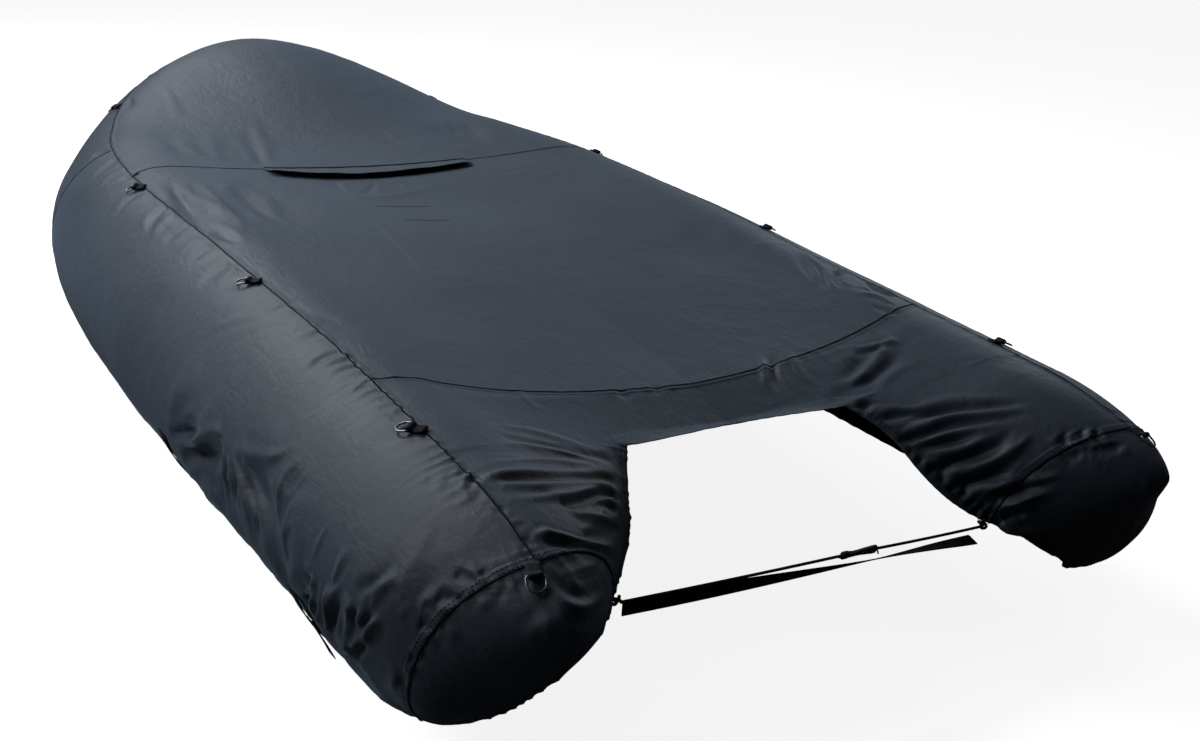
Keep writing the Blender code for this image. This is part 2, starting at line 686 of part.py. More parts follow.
def loop_and_ring(tree, axes):
    """A folded loop of webbing and the D-ring that hangs in its eye."""
    origin, across, down, out = axes
    base = WEBBING_THICKNESS / 2.0
    top = base + WEBBING_THICKNESS + LOOP_LAYER_GAP
    eye = (LOOP_LENGTH, base + LOOP_EYE)
    path = [(0.0, base), (LOOP_LENGTH, base)]
    for angle in LOOP_EYE_ANGLES:
        turn = math.radians(angle)
        path.append((eye[0] + LOOP_EYE * math.cos(turn), eye[1] + LOOP_EYE * math.sin(turn)))
    path += [(LOOP_LENGTH - LOOP_THROAT, top), (0.0, top)]
    points = [origin + down * along + out * up for along, up in path]
    loop = ribbon(points, [across] * len(points), WEBBING)
    bar = origin + down * eye[0] + out * eye[1]
    hit = tree.ray_cast(bar + down * RING_DEPTH + out * 0.05, -out)[0]
    fall = (bar - hit).dot(out) - RING_WIRE - RING_CLEAR if hit else RING_DEPTH
    tilt = math.asin(min(fall / RING_DEPTH, 0.8))
    hang = down * math.cos(tilt) - out * math.sin(tilt)
    flat = [(-RING_HALF_WIDTH, 0.0), (RING_HALF_WIDTH, 0.0)]
    for angle in (0.0, *RING_ARC, 180.0):
        turn = math.radians(angle)
        straight = RING_DEPTH - RING_HALF_WIDTH
        flat.append((RING_HALF_WIDTH * math.cos(turn), straight + RING_HALF_WIDTH * math.sin(turn)))
    wire = [bar + across * wide + hang * low for wide, low in flat]
    sections = []
    face = across.cross(hang)
    for before, point, after in zip(wire[-1:] + wire, wire, wire[1:] + wire[:1]):
        run = ((point - before).normalized() + (after - point).normalized()).normalized()
        widen = 1.0 / run.dot((after - point).normalized())
        side = face.cross(run)
        turns = [2.0 * math.pi * n / RING_SIDES for n in range(RING_SIDES)]
        sections.append(
            [point + (side * widen * math.cos(turn) + face * math.sin(turn)) * RING_WIRE for turn in turns]
        )
    return loop, sweep(sections, closed=True)


def loop_seats(tree):
    """Name and axes of every loop."""
    seats = []
    for side, number, y, turn in SIDE_LOOPS:
        s = length_at(y)
        spot = on_roll(s, seam_angle(s))
        down = on_roll(s, seam_angle(s) - 8.0) - spot
        seats.append((side, number, spot, down, turn))
    for side, number, angle, turn in CAP_LOOPS:
        s = cap_seam_s(angle)
        spot = on_roll(s, angle)
        seats.append((side, number, spot, on_roll(s - 0.03, angle) - spot, turn))
    named = []
    for side, number, spot, down, turn in seats:
        axes = seat(tree, mirrored(spot, side), mirrored(down, side), turn, LOOP_LENGTH)
        named.append((f"{'port' if side < 0.0 else 'starboard'}_{number}", axes))
    return named


def tab_mesh(rows, width, side):
    """A ribbon that lies off the roll, its width square to the way it runs."""
    points, across = [], []
    for y, angle, off in rows:
        s = length_at(y)
        point = on_roll(s, angle)
        out = (point - roll(s)[0]).normalized()
        points.append(mirrored(point + out * off, side))
    for run, (y, angle, _) in zip(directions(points), rows):
        centre = roll(length_at(y))[0]
        out = mirrored((on_roll(length_at(y), angle) - centre).normalized(), side)
        across.append(run.cross(out))
    return ribbon(points, across, width)


def cord_line(first, last):
    """Points of a cord pulled nearly straight."""
    points = []
    for share in np.linspace(0.0, 1.0, round((last - first).length / CORD_STEP) + 1):
        drop = CORD_SAG * 4.0 * share * (1.0 - share)
        points.append(first.lerp(last, share) - Vector((0.0, 0.0, drop)))
    return points


def hook_axes():
    """Centre of the hook, its way along the cord and its way up."""
    port_end, starboard_end = CORD_END[-1.0], CORD_END[1.0]
    along = (starboard_end - port_end).normalized()
    centre = port_end.lerp(starboard_end, (HOOK_X - port_end.x) / (starboard_end.x - port_end.x))
    up = (Vector((0.0, -0.5, 1.0)) - along * along.z).normalized()
    return centre, along, up


def hook_mesh():
    """A flat moulded hook with a hole through it."""
    centre, along, up = hook_axes()
    thick = along.cross(up) * HOOK_THICKNESS / 2.0
    sections = []
    for reach, face in ((1.0, 1.0), (1.0, -1.0), (0.0, -1.0), (0.0, 1.0)):
        section = []
        for a, b in HOOK_OUTLINE:
            turn = math.atan2(b, a - HOOK_HOLE[0])
            hole = (HOOK_HOLE[0] + HOOK_HOLE[1] * math.cos(turn), HOOK_HOLE[1] * math.sin(turn))
            place = (mix(hole[0], a, reach), mix(hole[1], b, reach))
            section.append(centre + along * place[0] + up * place[1] + thick * face)
        sections.append(section)
    return sweep(sections, closed=True)


def material(name, colour, roughness, metallic=0.0):
    made = bpy.data.materials.new(name)
    made.use_nodes = True
    shader = made.node_tree.nodes["Principled BSDF"]
    shader.inputs["Base Color"].default_value = (*colour, 1.0)
    shader.inputs["Roughness"].default_value = roughness
    shader.inputs["Metallic"].default_value = metallic
    return made


def add_object(name, mesh, surface):
    """An object from a bmesh in working coordinates, moved to the part's origin."""
    bmesh.ops.transform(mesh, matrix=Matrix.Translation(-ORIGIN), verts=mesh.verts)
    data = bpy.data.meshes.new(name)
    mesh.to_mesh(data)
    mesh.free()
    data.materials.append(surface)
    made = bpy.data.objects.new(name, data)
    bpy.context.collection.objects.link(made)
    return made


def add_cord(name, points, surface):
    """A round cord as a bevelled curve, moved to the part's origin."""
    data = bpy.data.curves.new(name, "CURVE")
    data.dimensions = "3D"
    data.bevel_depth = CORD_RADIUS
    data.bevel_resolution = 2
    data.use_fill_caps = True
    spline = data.splines.new("POLY")
    spline.points.add(len(points) - 1)
    for place, point in zip(spline.points, points):
        place.co = (*(point - ORIGIN), 1.0)
    data.materials.append(surface)
    bpy.context.collection.objects.link(bpy.data.objects.new(name, data))


def clear_scene():
    for old in list(bpy.data.objects):
        bpy.data.objects.remove(old, do_unlink=True)


ORIGIN = Vector((0.0, HOLD_Y, deck_height(0.0, HOLD_Y) - CLOTH))
COVER = build_cloth()


def main():
    clear_scene()
    slate = material("coated_cloth", (0.06, 0.08, 0.105), 0.55)
    webbing = material("webbing", (0.04, 0.045, 0.055), 0.75)
    metal = material("ring_metal", (0.09, 0.1, 0.11), 0.4, 0.8)
    elastic = material("elastic_cord", (0.012, 0.012, 0.014), 0.8)
    moulded = material("moulded_hook", (0.03, 0.032, 0.036), 0.45)
    normals = COVER.normals()
    for name in COVER.panels:
        add_object(name, shell_mesh(name, COVER, normals), slate)
    add_object("vent_hood", vent_mesh(), slate)
    tree = COVER.tree()
    for name, axes in loop_seats(tree):
        loop, ring = loop_and_ring(tree, axes)
        add_object(f"loop_{name}", loop, webbing)
        add_object(f"ring_{name}", ring, metal)
    for side, word in ((-1.0, "port"), (1.0, "starboard")):
        for number, (width, rows) in enumerate(HEM_TABS, 1):
            add_object(f"tab_{word}_{number}", tab_mesh(rows, width, side), webbing)
        centre, along, _ = hook_axes()
        hook_end = centre + along * side * (HOOK_LENGTH / 2.0 + HOOK_END_GAP)
        add_cord(f"drawcord_{word}", cord_line(CORD_END[side], hook_end), elastic)
    add_object("cord_hook", hook_mesh(), moulded)
    middle = [Vector(row[:3]) for row in STRAP]
    widths = [Vector((0.0, math.cos(math.radians(row[3])), math.sin(math.radians(row[3])))) for row in STRAP]
    add_object("strap_stern", ribbon(middle, widths, STRAP_WIDTH), webbing)


main()
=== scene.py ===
"""Looks for the fitted boat cover: cloth panels, trims, materials, floor, light and camera.

Working coordinates are in metres with +X to starboard, +Y to the bow and +Z up; ORIGIN is taken off at
the end, so that every piece lies in the frame of the CAD model.
"""
import math

import bmesh
import bpy
import numpy as np
from mathutils import Matrix, Vector, noise
from mathutils.bvhtree import BVHTree
from mathutils.kdtree import KDTree


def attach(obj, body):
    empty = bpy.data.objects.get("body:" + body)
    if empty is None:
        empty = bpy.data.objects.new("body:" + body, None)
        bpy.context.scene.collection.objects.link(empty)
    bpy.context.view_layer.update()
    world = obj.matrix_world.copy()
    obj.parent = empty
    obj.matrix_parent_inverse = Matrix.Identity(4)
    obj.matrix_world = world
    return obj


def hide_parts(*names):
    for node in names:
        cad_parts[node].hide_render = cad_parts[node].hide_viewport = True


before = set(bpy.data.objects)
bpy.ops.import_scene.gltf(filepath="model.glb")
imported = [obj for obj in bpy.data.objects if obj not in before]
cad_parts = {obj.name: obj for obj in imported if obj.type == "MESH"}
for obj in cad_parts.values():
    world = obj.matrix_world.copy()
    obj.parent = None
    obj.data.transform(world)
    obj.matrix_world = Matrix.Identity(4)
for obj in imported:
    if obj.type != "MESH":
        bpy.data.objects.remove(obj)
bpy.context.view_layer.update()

ORIGIN = Vector((0.0, 1.62, 0.43121))
SIDES = ((-1.0, "port"), (1.0, "starboard"))
CLOTH = 0.0015  # thickness of the visible sheets
SEAM_GAP = 0.0004  # by which a sheet is drawn in along its border

# The round sides that carry the cover, by their centre line
HALF_SPACING = 0.55
AXIS_HEIGHT = 0.23
BOW_START = 1.34
BOW_LENGTH = 1.49
BOW_WIDTH_POWER = 1.75
BOW_LENGTH_POWER = 3.34
SHEER_START = 2.37
SHEER_RISE = 0.157
SHEER_POWER = 1.8
RADIUS_STERN = 0.205
RADIUS_MIDDLE = 0.245
RADIUS_BOW = 0.258

# The tapered ends at the stern
CONE_START = 0.22
CONE_LENGTH = 0.31
CONE_POWER = 1.5
CONE_ROUNDING = 1.21
CONE_TIP_RISE = 0.109
CONE_TIP_OUT = 0.025
CONE_SHIFT_POWER = 1.47

# Seams. An angle of 90 is the top of a round side, 0 its outer side and 180 its inner side.
SIDE_SEAM_Y = (0.7, 2.4, 2.7)
SIDE_SEAM_ANGLE = (81.5, 65.0, 55.0)
SIDE_HEM_ANGLE = -48.0
CAP_SEAM_TOP = 0.006
CAP_SEAM_SLANT = 0.145
CAP_SEAM_SKEW = 0.01
HEM_CORNER_ANGLE = {-1.0: 186.0, 1.0: 198.0}  # port and starboard
LEG_HEM_RISE = {-1.0: 6.0, 1.0: 12.0}  # degrees by which a leg's inner hem climbs half way along
# The full lower corner of the starboard end: places on it in radii, half widths, heights
FULL_CORNER = (((0.66, -0.50), 0.120, 0.064), ((0.35, -0.35), 0.070, 0.016))
# The full lower corner of the port end: place along the cover and angle, half width, height
PORT_CORNER = ((0.0925, -42.5), 0.070, 0.020)
REAR_SEAM_Y = 0.55
REAR_SEAM_BOW = -0.065
FRONT_SEAM_Y = 1.885
FRONT_SEAM_BOW = 0.05
BOW_SIDE_SEAM_Y = 2.15
NOTCH_HALF_WIDTH = 0.23
NOTCH_Y = 0.335
NOTCH_ROW_SEAM_Y = 0.27
SAG_Y = (0.25, 0.48, 1.0, 2.1, 2.6)
SAG_SLOPE = (27.0, 15.0, 10.5, 10.5, 5.0)
SAG_REACH = 0.25
NOTCH_RISE = 0.006  # of the hem across the cut-out, at its middle
INNER_COLUMN = 0.4  # how far across the half deck the inner hem of a leg lies
CAP_HEM = {  # points of the cap's hem, in radii of the end of a round side
    -1.0: ((-0.45, -0.14), (-0.2, -0.3), (-0.02, -0.5), (0.14, -0.68)),
    1.0: ((-0.62, -0.38), (-0.38, -0.56), (-0.1, -0.68), (0.14, -0.76)),
}

# Steps of the grids
LEG_ROWS = 70
STERN_ROWS = 62
MID_ROWS = 150
BOW_SIDE_STEPS = 26
BOW_STEPS = 92
HALF_COLUMNS = BOW_SIDE_STEPS + BOW_STEPS
LEG_COLUMNS = 78
BOW_DECK_ROWS = 104
SIDE_ROWS = 108
CAP_ROWS = 46

# Camera, found from the photograph
CAMERA_AT = Vector((-1.3739, -1.3423, 1.2550))
CAMERA_AZIMUTH = 32.80
CAMERA_DOWN = 20.74
CAMERA_ROLL = -4.47
FOCAL_PIXELS = 1375.8
IMAGE = (1200, 741)
SENSOR_WIDTH = 36.0

# Smoothing of the bare surface: beside the cut-out (middle and reach, across and along, and the least height
# there) and on the foredeck (first place along the cover and fade, distances from the seam)
NOTCH_BLEND = ((0.37, 0.17), (0.315, 0.075), 0.3)
FOREDECK_BLEND = ((1.55, 0.25), (0.26, 0.05))
SMOOTHING_ROUNDS = 160


def camera_axes():
    az, down, roll = (math.radians(v) for v in (CAMERA_AZIMUTH, CAMERA_DOWN, CAMERA_ROLL))
    ahead = Vector((math.sin(az) * math.cos(down), math.cos(az) * math.cos(down), -math.sin(down)))
    right = Vector((math.cos(az), -math.sin(az), 0.0))
    below = ahead.cross(right)
    right, below = (
        right * math.cos(roll) + below * math.sin(roll),
        below * math.cos(roll) - right * math.sin(roll),
    )
    return ahead, right, below


AHEAD, RIGHT, BELOW = camera_axes()


def pixel_ray(u, v):
    across, down = (u - IMAGE[0] / 2) / FOCAL_PIXELS, (v - IMAGE[1] / 2) / FOCAL_PIXELS
    return (AHEAD + RIGHT * across + BELOW * down).normalized()


def add_camera():
    data = bpy.data.cameras.new("camera")
    data.sensor_fit = "HORIZONTAL"
    data.sensor_width = SENSOR_WIDTH
    data.lens = FOCAL_PIXELS * SENSOR_WIDTH / IMAGE[0]
    data.clip_start = 0.05
    made = bpy.data.objects.new("camera", data)
    place = Matrix((RIGHT, -BELOW, -AHEAD)).transposed().to_4x4()
    place.translation = CAMERA_AT - ORIGIN
    made.matrix_world = place
    bpy.context.scene.collection.objects.link(made)
    bpy.context.scene.camera = made


add_camera()


# ---------------------------------------------------------------- the surface that carries the cloth


def rail_points():
    """Lengths along the starboard side's centre line from the stern, and its points in plan."""
    straight = np.linspace(CONE_START, BOW_START, 160)
    turn = (1.0 - np.cos(np.linspace(0.0, math.pi, 900))) / 2.0 * math.pi / 2.0
    narrowing = np.cos(turn[1:]).clip(0.0) ** (2.0 / BOW_WIDTH_POWER)
    x = np.concatenate([np.full(160, HALF_SPACING), HALF_SPACING * narrowing])
    y = np.concatenate([straight, BOW_START + BOW_LENGTH * np.sin(turn[1:]) ** (2.0 / BOW_LENGTH_POWER)])
    length = np.concatenate([[0.0], np.cumsum(np.hypot(np.diff(x), np.diff(y)))])
    return length, x, y


RAIL_S, RAIL_X, RAIL_Y = rail_points()
RAIL_END = float(RAIL_S[-1])


def mix(a, b, t):
    return a + (b - a) * t


def roll(s):
    """Centres, outward directions in plan and radii of the starboard side at lengths s."""
    s = np.atleast_1d(np.asarray(s, float))
    cone = s < 0.0
    part = np.clip(-s / CONE_LENGTH, 0.0, 0.999)
    shift = part**CONE_SHIFT_POWER
    x = np.where(cone, HALF_SPACING + CONE_TIP_OUT * shift, np.interp(s, RAIL_S, RAIL_X))
    y = np.where(cone, CONE_START + s, np.interp(s, RAIL_S, RAIL_Y))
    forward = np.clip((y - SHEER_START) / (BOW_START + BOW_LENGTH - SHEER_START), 0.0, None)
    z = AXIS_HEIGHT + np.where(cone, CONE_TIP_RISE * shift, SHEER_RISE * forward**SHEER_POWER)
    radii = (RADIUS_STERN, RADIUS_MIDDLE, RADIUS_BOW)
    on_rail = np.interp(y, (CONE_START, BOW_START, BOW_START + BOW_LENGTH), radii)
    on_cone = RADIUS_STERN * (1.0 - part**CONE_POWER) ** (1.0 / CONE_ROUNDING)
    radius = np.where(cone, on_cone, on_rail)
    ahead, behind = np.minimum(s + 0.03, RAIL_END), np.maximum(s - 0.03, 0.0)
    run_x = np.interp(ahead, RAIL_S, RAIL_X) - np.interp(behind, RAIL_S, RAIL_X)
    run_y = np.interp(ahead, RAIL_S, RAIL_Y) - np.interp(behind, RAIL_S, RAIL_Y)
    run_x = np.where(cone, 0.0, run_x)
    run_y = np.where(cone, 1.0, run_y)
    run_x = np.where(s > RAIL_END - 0.002, -1.0, run_x)
    run_y = np.where(s > RAIL_END - 0.002, 0.0, run_y)
    size = np.hypot(run_x, run_y)
    outward = np.stack([run_y / size, -run_x / size, np.zeros_like(s)], -1)
    return np.stack([x, y, z], -1), outward, radius


def on_roll(s, angle, stretch=1.0):
    s, angle, stretch = np.broadcast_arrays(np.asarray(s, float), angle, stretch)
    shape = s.shape
    centre, outward, radius = roll(s.ravel())
    turn = np.radians(angle.ravel().astype(float))[:, None]
    way = outward * np.cos(turn) + np.array([0.0, 0.0, 1.0]) * np.sin(turn)
    return (centre + way * (radius * stretch.ravel())[:, None]).reshape(*shape, 3)


def length_at(y):
    y = np.asarray(y, float)
    return np.where(y < CONE_START, y - CONE_START, np.interp(y, RAIL_Y, RAIL_S))


def seam_angle(s):
    s = np.asarray(s, float)
    y = np.where(s < 0.0, CONE_START + s, np.interp(s, RAIL_S, RAIL_Y))
    return np.interp(y, SIDE_SEAM_Y, SIDE_SEAM_ANGLE)


def cap_seam_s(angle):
    turn = np.radians(angle)
    slant = CAP_SEAM_SLANT * (1.0 - np.sin(turn)) / 2.0
    return CAP_SEAM_TOP + slant - CAP_SEAM_SKEW * np.cos(turn) - CONE_START


def deck_height(x, y):
    """Height of the deck cloth over plan points: on the round sides' tops, and sagging between them."""
    x, y = np.broadcast_arrays(np.asarray(x, float), np.asarray(y, float))
    shape = x.shape
    x, y = np.abs(x.ravel()), y.ravel()
    inboard, near_s = np.empty(len(x)), np.empty(len(x))
    step_x, step_y, step = np.diff(RAIL_X), np.diff(RAIL_Y), np.diff(RAIL_S)
    for first in range(0, len(x), 20000):
        part = slice(first, first + 20000)
        px, py = x[part], y[part]
        squared = (RAIL_X[None, ::4] - px[:, None]) ** 2 + (RAIL_Y[None, ::4] - py[:, None]) ** 2
        near = np.argmin(squared, 1) * 4
        best, at, sign = np.full(len(px), np.inf), np.zeros(len(px)), np.ones(len(px))
        for shift in range(-5, 5):
            k = np.clip(near + shift, 0, len(step) - 1)
            dx, dy = px - RAIL_X[k], py - RAIL_Y[k]
            t = np.clip((dx * step_x[k] + dy * step_y[k]) / step[k] ** 2, 0.0, 1.0)
            away = np.hypot(dx - t * step_x[k], dy - t * step_y[k])
            closer = away < best
            outside = dx * step_y[k] - dy * step_x[k] > 0.0
            best = np.where(closer, away, best)
            at = np.where(closer, RAIL_S[k] + t * step[k], at)
            sign = np.where(closer, np.where(outside, -1.0, 1.0), sign)
        inboard[part], near_s[part] = best * sign, at
    centre, _, radius = roll(near_s)
    slope = np.radians(np.interp(y, SAG_Y, SAG_SLOPE))
    leave = radius * np.sin(slope)
    drop = np.tan(slope) * SAG_REACH * (1.0 - np.exp(-(np.maximum(inboard - leave, 0.0)) / SAG_REACH))
    round_part = np.sqrt(np.maximum(radius**2 - inboard**2, 0.0))
    height = centre[:, 2] + np.where(inboard <= leave, round_part, radius * np.cos(slope) - drop)
    return height.reshape(shape)


def eased(count, ends):
    """Shares from 0 to 1 that lie closer together at both ends."""
    u = np.linspace(0.0, 1.0, count + 1)
    return u - ends * np.sin(2.0 * np.pi * u) / (2.0 * np.pi)


def columns():
    """How far across the half deck each column lies, from the side seam (1) to the centre line (0)."""
    edge = 1.0 - (1.0 - INNER_COLUMN) * eased(LEG_COLUMNS, 0.0) ** 1.2
    middle = np.linspace(INNER_COLUMN, 0.0, HALF_COLUMNS - LEG_COLUMNS + 1)
    return np.concatenate([edge, middle[1:]])


COLUMNS = columns()
RING_S = float(cap_seam_s(SIDE_SEAM_ANGLE[0]))
NOTCH_ROW = LEG_ROWS
REAR_ROW = NOTCH_ROW + STERN_ROWS
FRONT_ROW = REAR_ROW + MID_ROWS
BOW_SIDE_ROW = FRONT_ROW + BOW_SIDE_STEPS
LEG_SHARE = eased(LEG_ROWS, 0.35)
STERN_SHARE = eased(STERN_ROWS, 0.45)
MID_SHARE = eased(MID_ROWS, 0.5)


def seam_stations():
    s_notch, s_rear, s_front, s_bow = (
        float(length_at(y)) for y in (NOTCH_ROW_SEAM_Y, REAR_SEAM_Y, FRONT_SEAM_Y, BOW_SIDE_SEAM_Y)
    )
    return np.concatenate(
        [
            mix(RING_S, s_notch, LEG_SHARE),
            mix(s_notch, s_rear, STERN_SHARE)[1:],
            mix(s_rear, s_front, MID_SHARE)[1:],
            mix(s_front, s_bow, eased(BOW_SIDE_STEPS, 0.4))[1:],
            mix(s_bow, RAIL_END, eased(BOW_STEPS, 0.0))[1:],
        ]
    )


STATIONS = seam_stations()
SEAM = on_roll(STATIONS, seam_angle(STATIONS))  # starboard side seam


def mirrored(points, side):
    return points * np.array([side, 1.0, 1.0])


def deck_rows(rows, bows):
    """Rows of deck points from the port side seam to starboard, each bowed at the centre line."""
    half = []
    for row, bow in zip(rows, bows):
        x = SEAM[row, 0] * COLUMNS
        y = SEAM[row, 1] + bow * (1.0 - COLUMNS**2)
        half.append(np.stack([x, y, np.zeros_like(x)], -1))
    half = np.array(half)
    half[..., 2] = deck_height(half[..., 0], half[..., 1])
    half[:, 0] = SEAM[list(rows)]
    return np.concatenate([mirrored(half, -1.0), half[:, -2::-1]], 1)


def notch_row():
    """The row of deck points that holds the hem across the cut-out."""
    x = np.empty(HALF_COLUMNS + 1)
    y = np.empty(HALF_COLUMNS + 1)
    reach = (1.0 - COLUMNS[: LEG_COLUMNS + 1]) / (1.0 - INNER_COLUMN)
    corner = SEAM[NOTCH_ROW]
    x[: LEG_COLUMNS + 1] = mix(corner[0], NOTCH_HALF_WIDTH, reach)
    y[: LEG_COLUMNS + 1] = mix(corner[1], NOTCH_Y, reach)
    inward = np.linspace(0.0, 1.0, HALF_COLUMNS - LEG_COLUMNS + 1)
    x[LEG_COLUMNS:] = NOTCH_HALF_WIDTH * (1.0 - inward)
    y[LEG_COLUMNS:] = NOTCH_Y
    z = deck_height(x, y)
    end = float(deck_height(NOTCH_HALF_WIDTH, NOTCH_Y))
    z[LEG_COLUMNS:] = end + NOTCH_RISE * np.sin(inward * np.pi / 2.0)
    half = np.stack([x, y, z], -1)
    half[0] = corner
    return np.concatenate([mirrored(half, -1.0), half[-2::-1]])


def leg(side, last):
    """Rows of a leg of the stern deck from the cap seam to the notch row, seam to inner hem."""
    half = HALF_COLUMNS
    order = [k if side < 0 else 2 * half - k for k in range(LEG_COLUMNS + 1)]
    last_row = mirrored(last[order], side)
    centre, _, radius = roll(length_at(NOTCH_Y))
    centre, radius = centre[0], radius[0]
    reach = (1.0 - COLUMNS[: LEG_COLUMNS + 1]) / (1.0 - INNER_COLUMN)
    first_angle = mix(float(seam_angle(RING_S)), HEM_CORNER_ANGLE[side], reach)
    first_s = cap_seam_s(first_angle)
    polar = last_row - centre
    last_angle = np.degrees(np.arctan2(polar[:, 2], polar[:, 0]))
    last_stretch = np.hypot(polar[:, 0], polar[:, 2]) / radius
    last_s = length_at(last_row[:, 1])
    share = LEG_SHARE[:, None]
    rise = LEG_HEM_RISE[side] * reach[None] * np.sin(np.pi * share)
    rows = on_roll(
        mix(first_s[None], last_s[None], share),
        mix(first_angle[None], last_angle[None], share) - rise,
        mix(1.0, last_stretch[None], share**1.15),
    )
    rows[:, 0] = SEAM[: NOTCH_ROW + 1]
    rows[0] = on_roll(first_s, first_angle)
    rows[0, 0] = SEAM[0]
    rows[-1] = last_row
    return mirrored(rows, side), first_angle


def on_cone(out, up):
    """Points of the starboard end, seen from behind: outward and up, in radii."""
    size = np.minimum(np.hypot(out, up), 0.995)
    part = (1.0 - size**CONE_ROUNDING) ** (1.0 / CONE_POWER)
    return on_roll(-part * CONE_LENGTH, np.degrees(np.arctan2(up, out)))


def smooth_through(points, count):
    """Evenly spaced points on a smooth curve through a short list of points."""
    points = np.array(points)
    t = np.linspace(0.0, len(points) - 1, count)
    padded = np.concatenate([[2 * points[0] - points[1]], points, [2 * points[-1] - points[-2]]])
    k = np.minimum(t.astype(int), len(points) - 2)
    u = (t - k)[:, None]
    a, b, c, d = (padded[k + n] for n in range(4))
    return 0.5 * (2 * b + (c - a) * u + (2 * a - 5 * b + 4 * c - d) * u**2 + (3 * b - a - 3 * c + d) * u**3)


def cap(side, inner_angles, ring_points):
    """An end panel: rows from its seam to its hem."""
    angles = np.concatenate([SIDE_ANGLES_FIRST, inner_angles[1:]])
    size = roll(cap_seam_s(angles))[2] / RADIUS_STERN
    turn = np.radians(angles)
    ring = np.stack([size * np.cos(turn), size * np.sin(turn)], -1)
    corners = [ring[-1], *CAP_HEM[side], ring[0]]
    hem = smooth_through(corners, len(angles))[::-1]
    share = eased(CAP_ROWS, 0.25)[:, None, None]
    flat = mix(ring[None], hem[None], share)
    rows = on_cone(flat[..., 0], flat[..., 1])
    rows[0] = ring_points
    rows[:, 0] = ring_points[0]
    rows[:, -1] = ring_points[-1]
    return rows


SIDE_SHARE = eased(SIDE_ROWS, 0.35)
SIDE_ANGLES_FIRST = mix(SIDE_HEM_ANGLE, SIDE_SEAM_ANGLE[0], SIDE_SHARE)


def side_panel():
    """The starboard side: rows along the cover, points from the hem up to the side seam."""
    first = cap_seam_s(SIDE_ANGLES_FIRST)[None]
    stations = STATIONS[: BOW_SIDE_ROW + 1]
    share = ((stations - RING_S) / (stations[-1] - RING_S))[:, None]
    s = mix(first, stations[-1], share)
    s[:, -1] = stations
    rows = on_roll(s, mix(SIDE_HEM_ANGLE, seam_angle(s), SIDE_SHARE[None]))
    rows[:, -1] = SEAM[: BOW_SIDE_ROW + 1]
    return rows


def bow_wrap(first_row):
    """The side round the bow: rows from the port bow seam to the starboard one."""
    stations = STATIONS[BOW_SIDE_ROW:]
    s = np.broadcast_to(stations[:, None], (len(stations), SIDE_ROWS + 1))
    rows = on_roll(s, mix(SIDE_HEM_ANGLE, seam_angle(s), SIDE_SHARE[None]))
    rows[:, -1] = SEAM[BOW_SIDE_ROW:]
    rows[0] = first_row
    rows[-1, :, 0] = 0.0
    return np.concatenate([mirrored(rows, -1.0), rows[-2::-1]])


LINES = {}  # points along each seam and hem


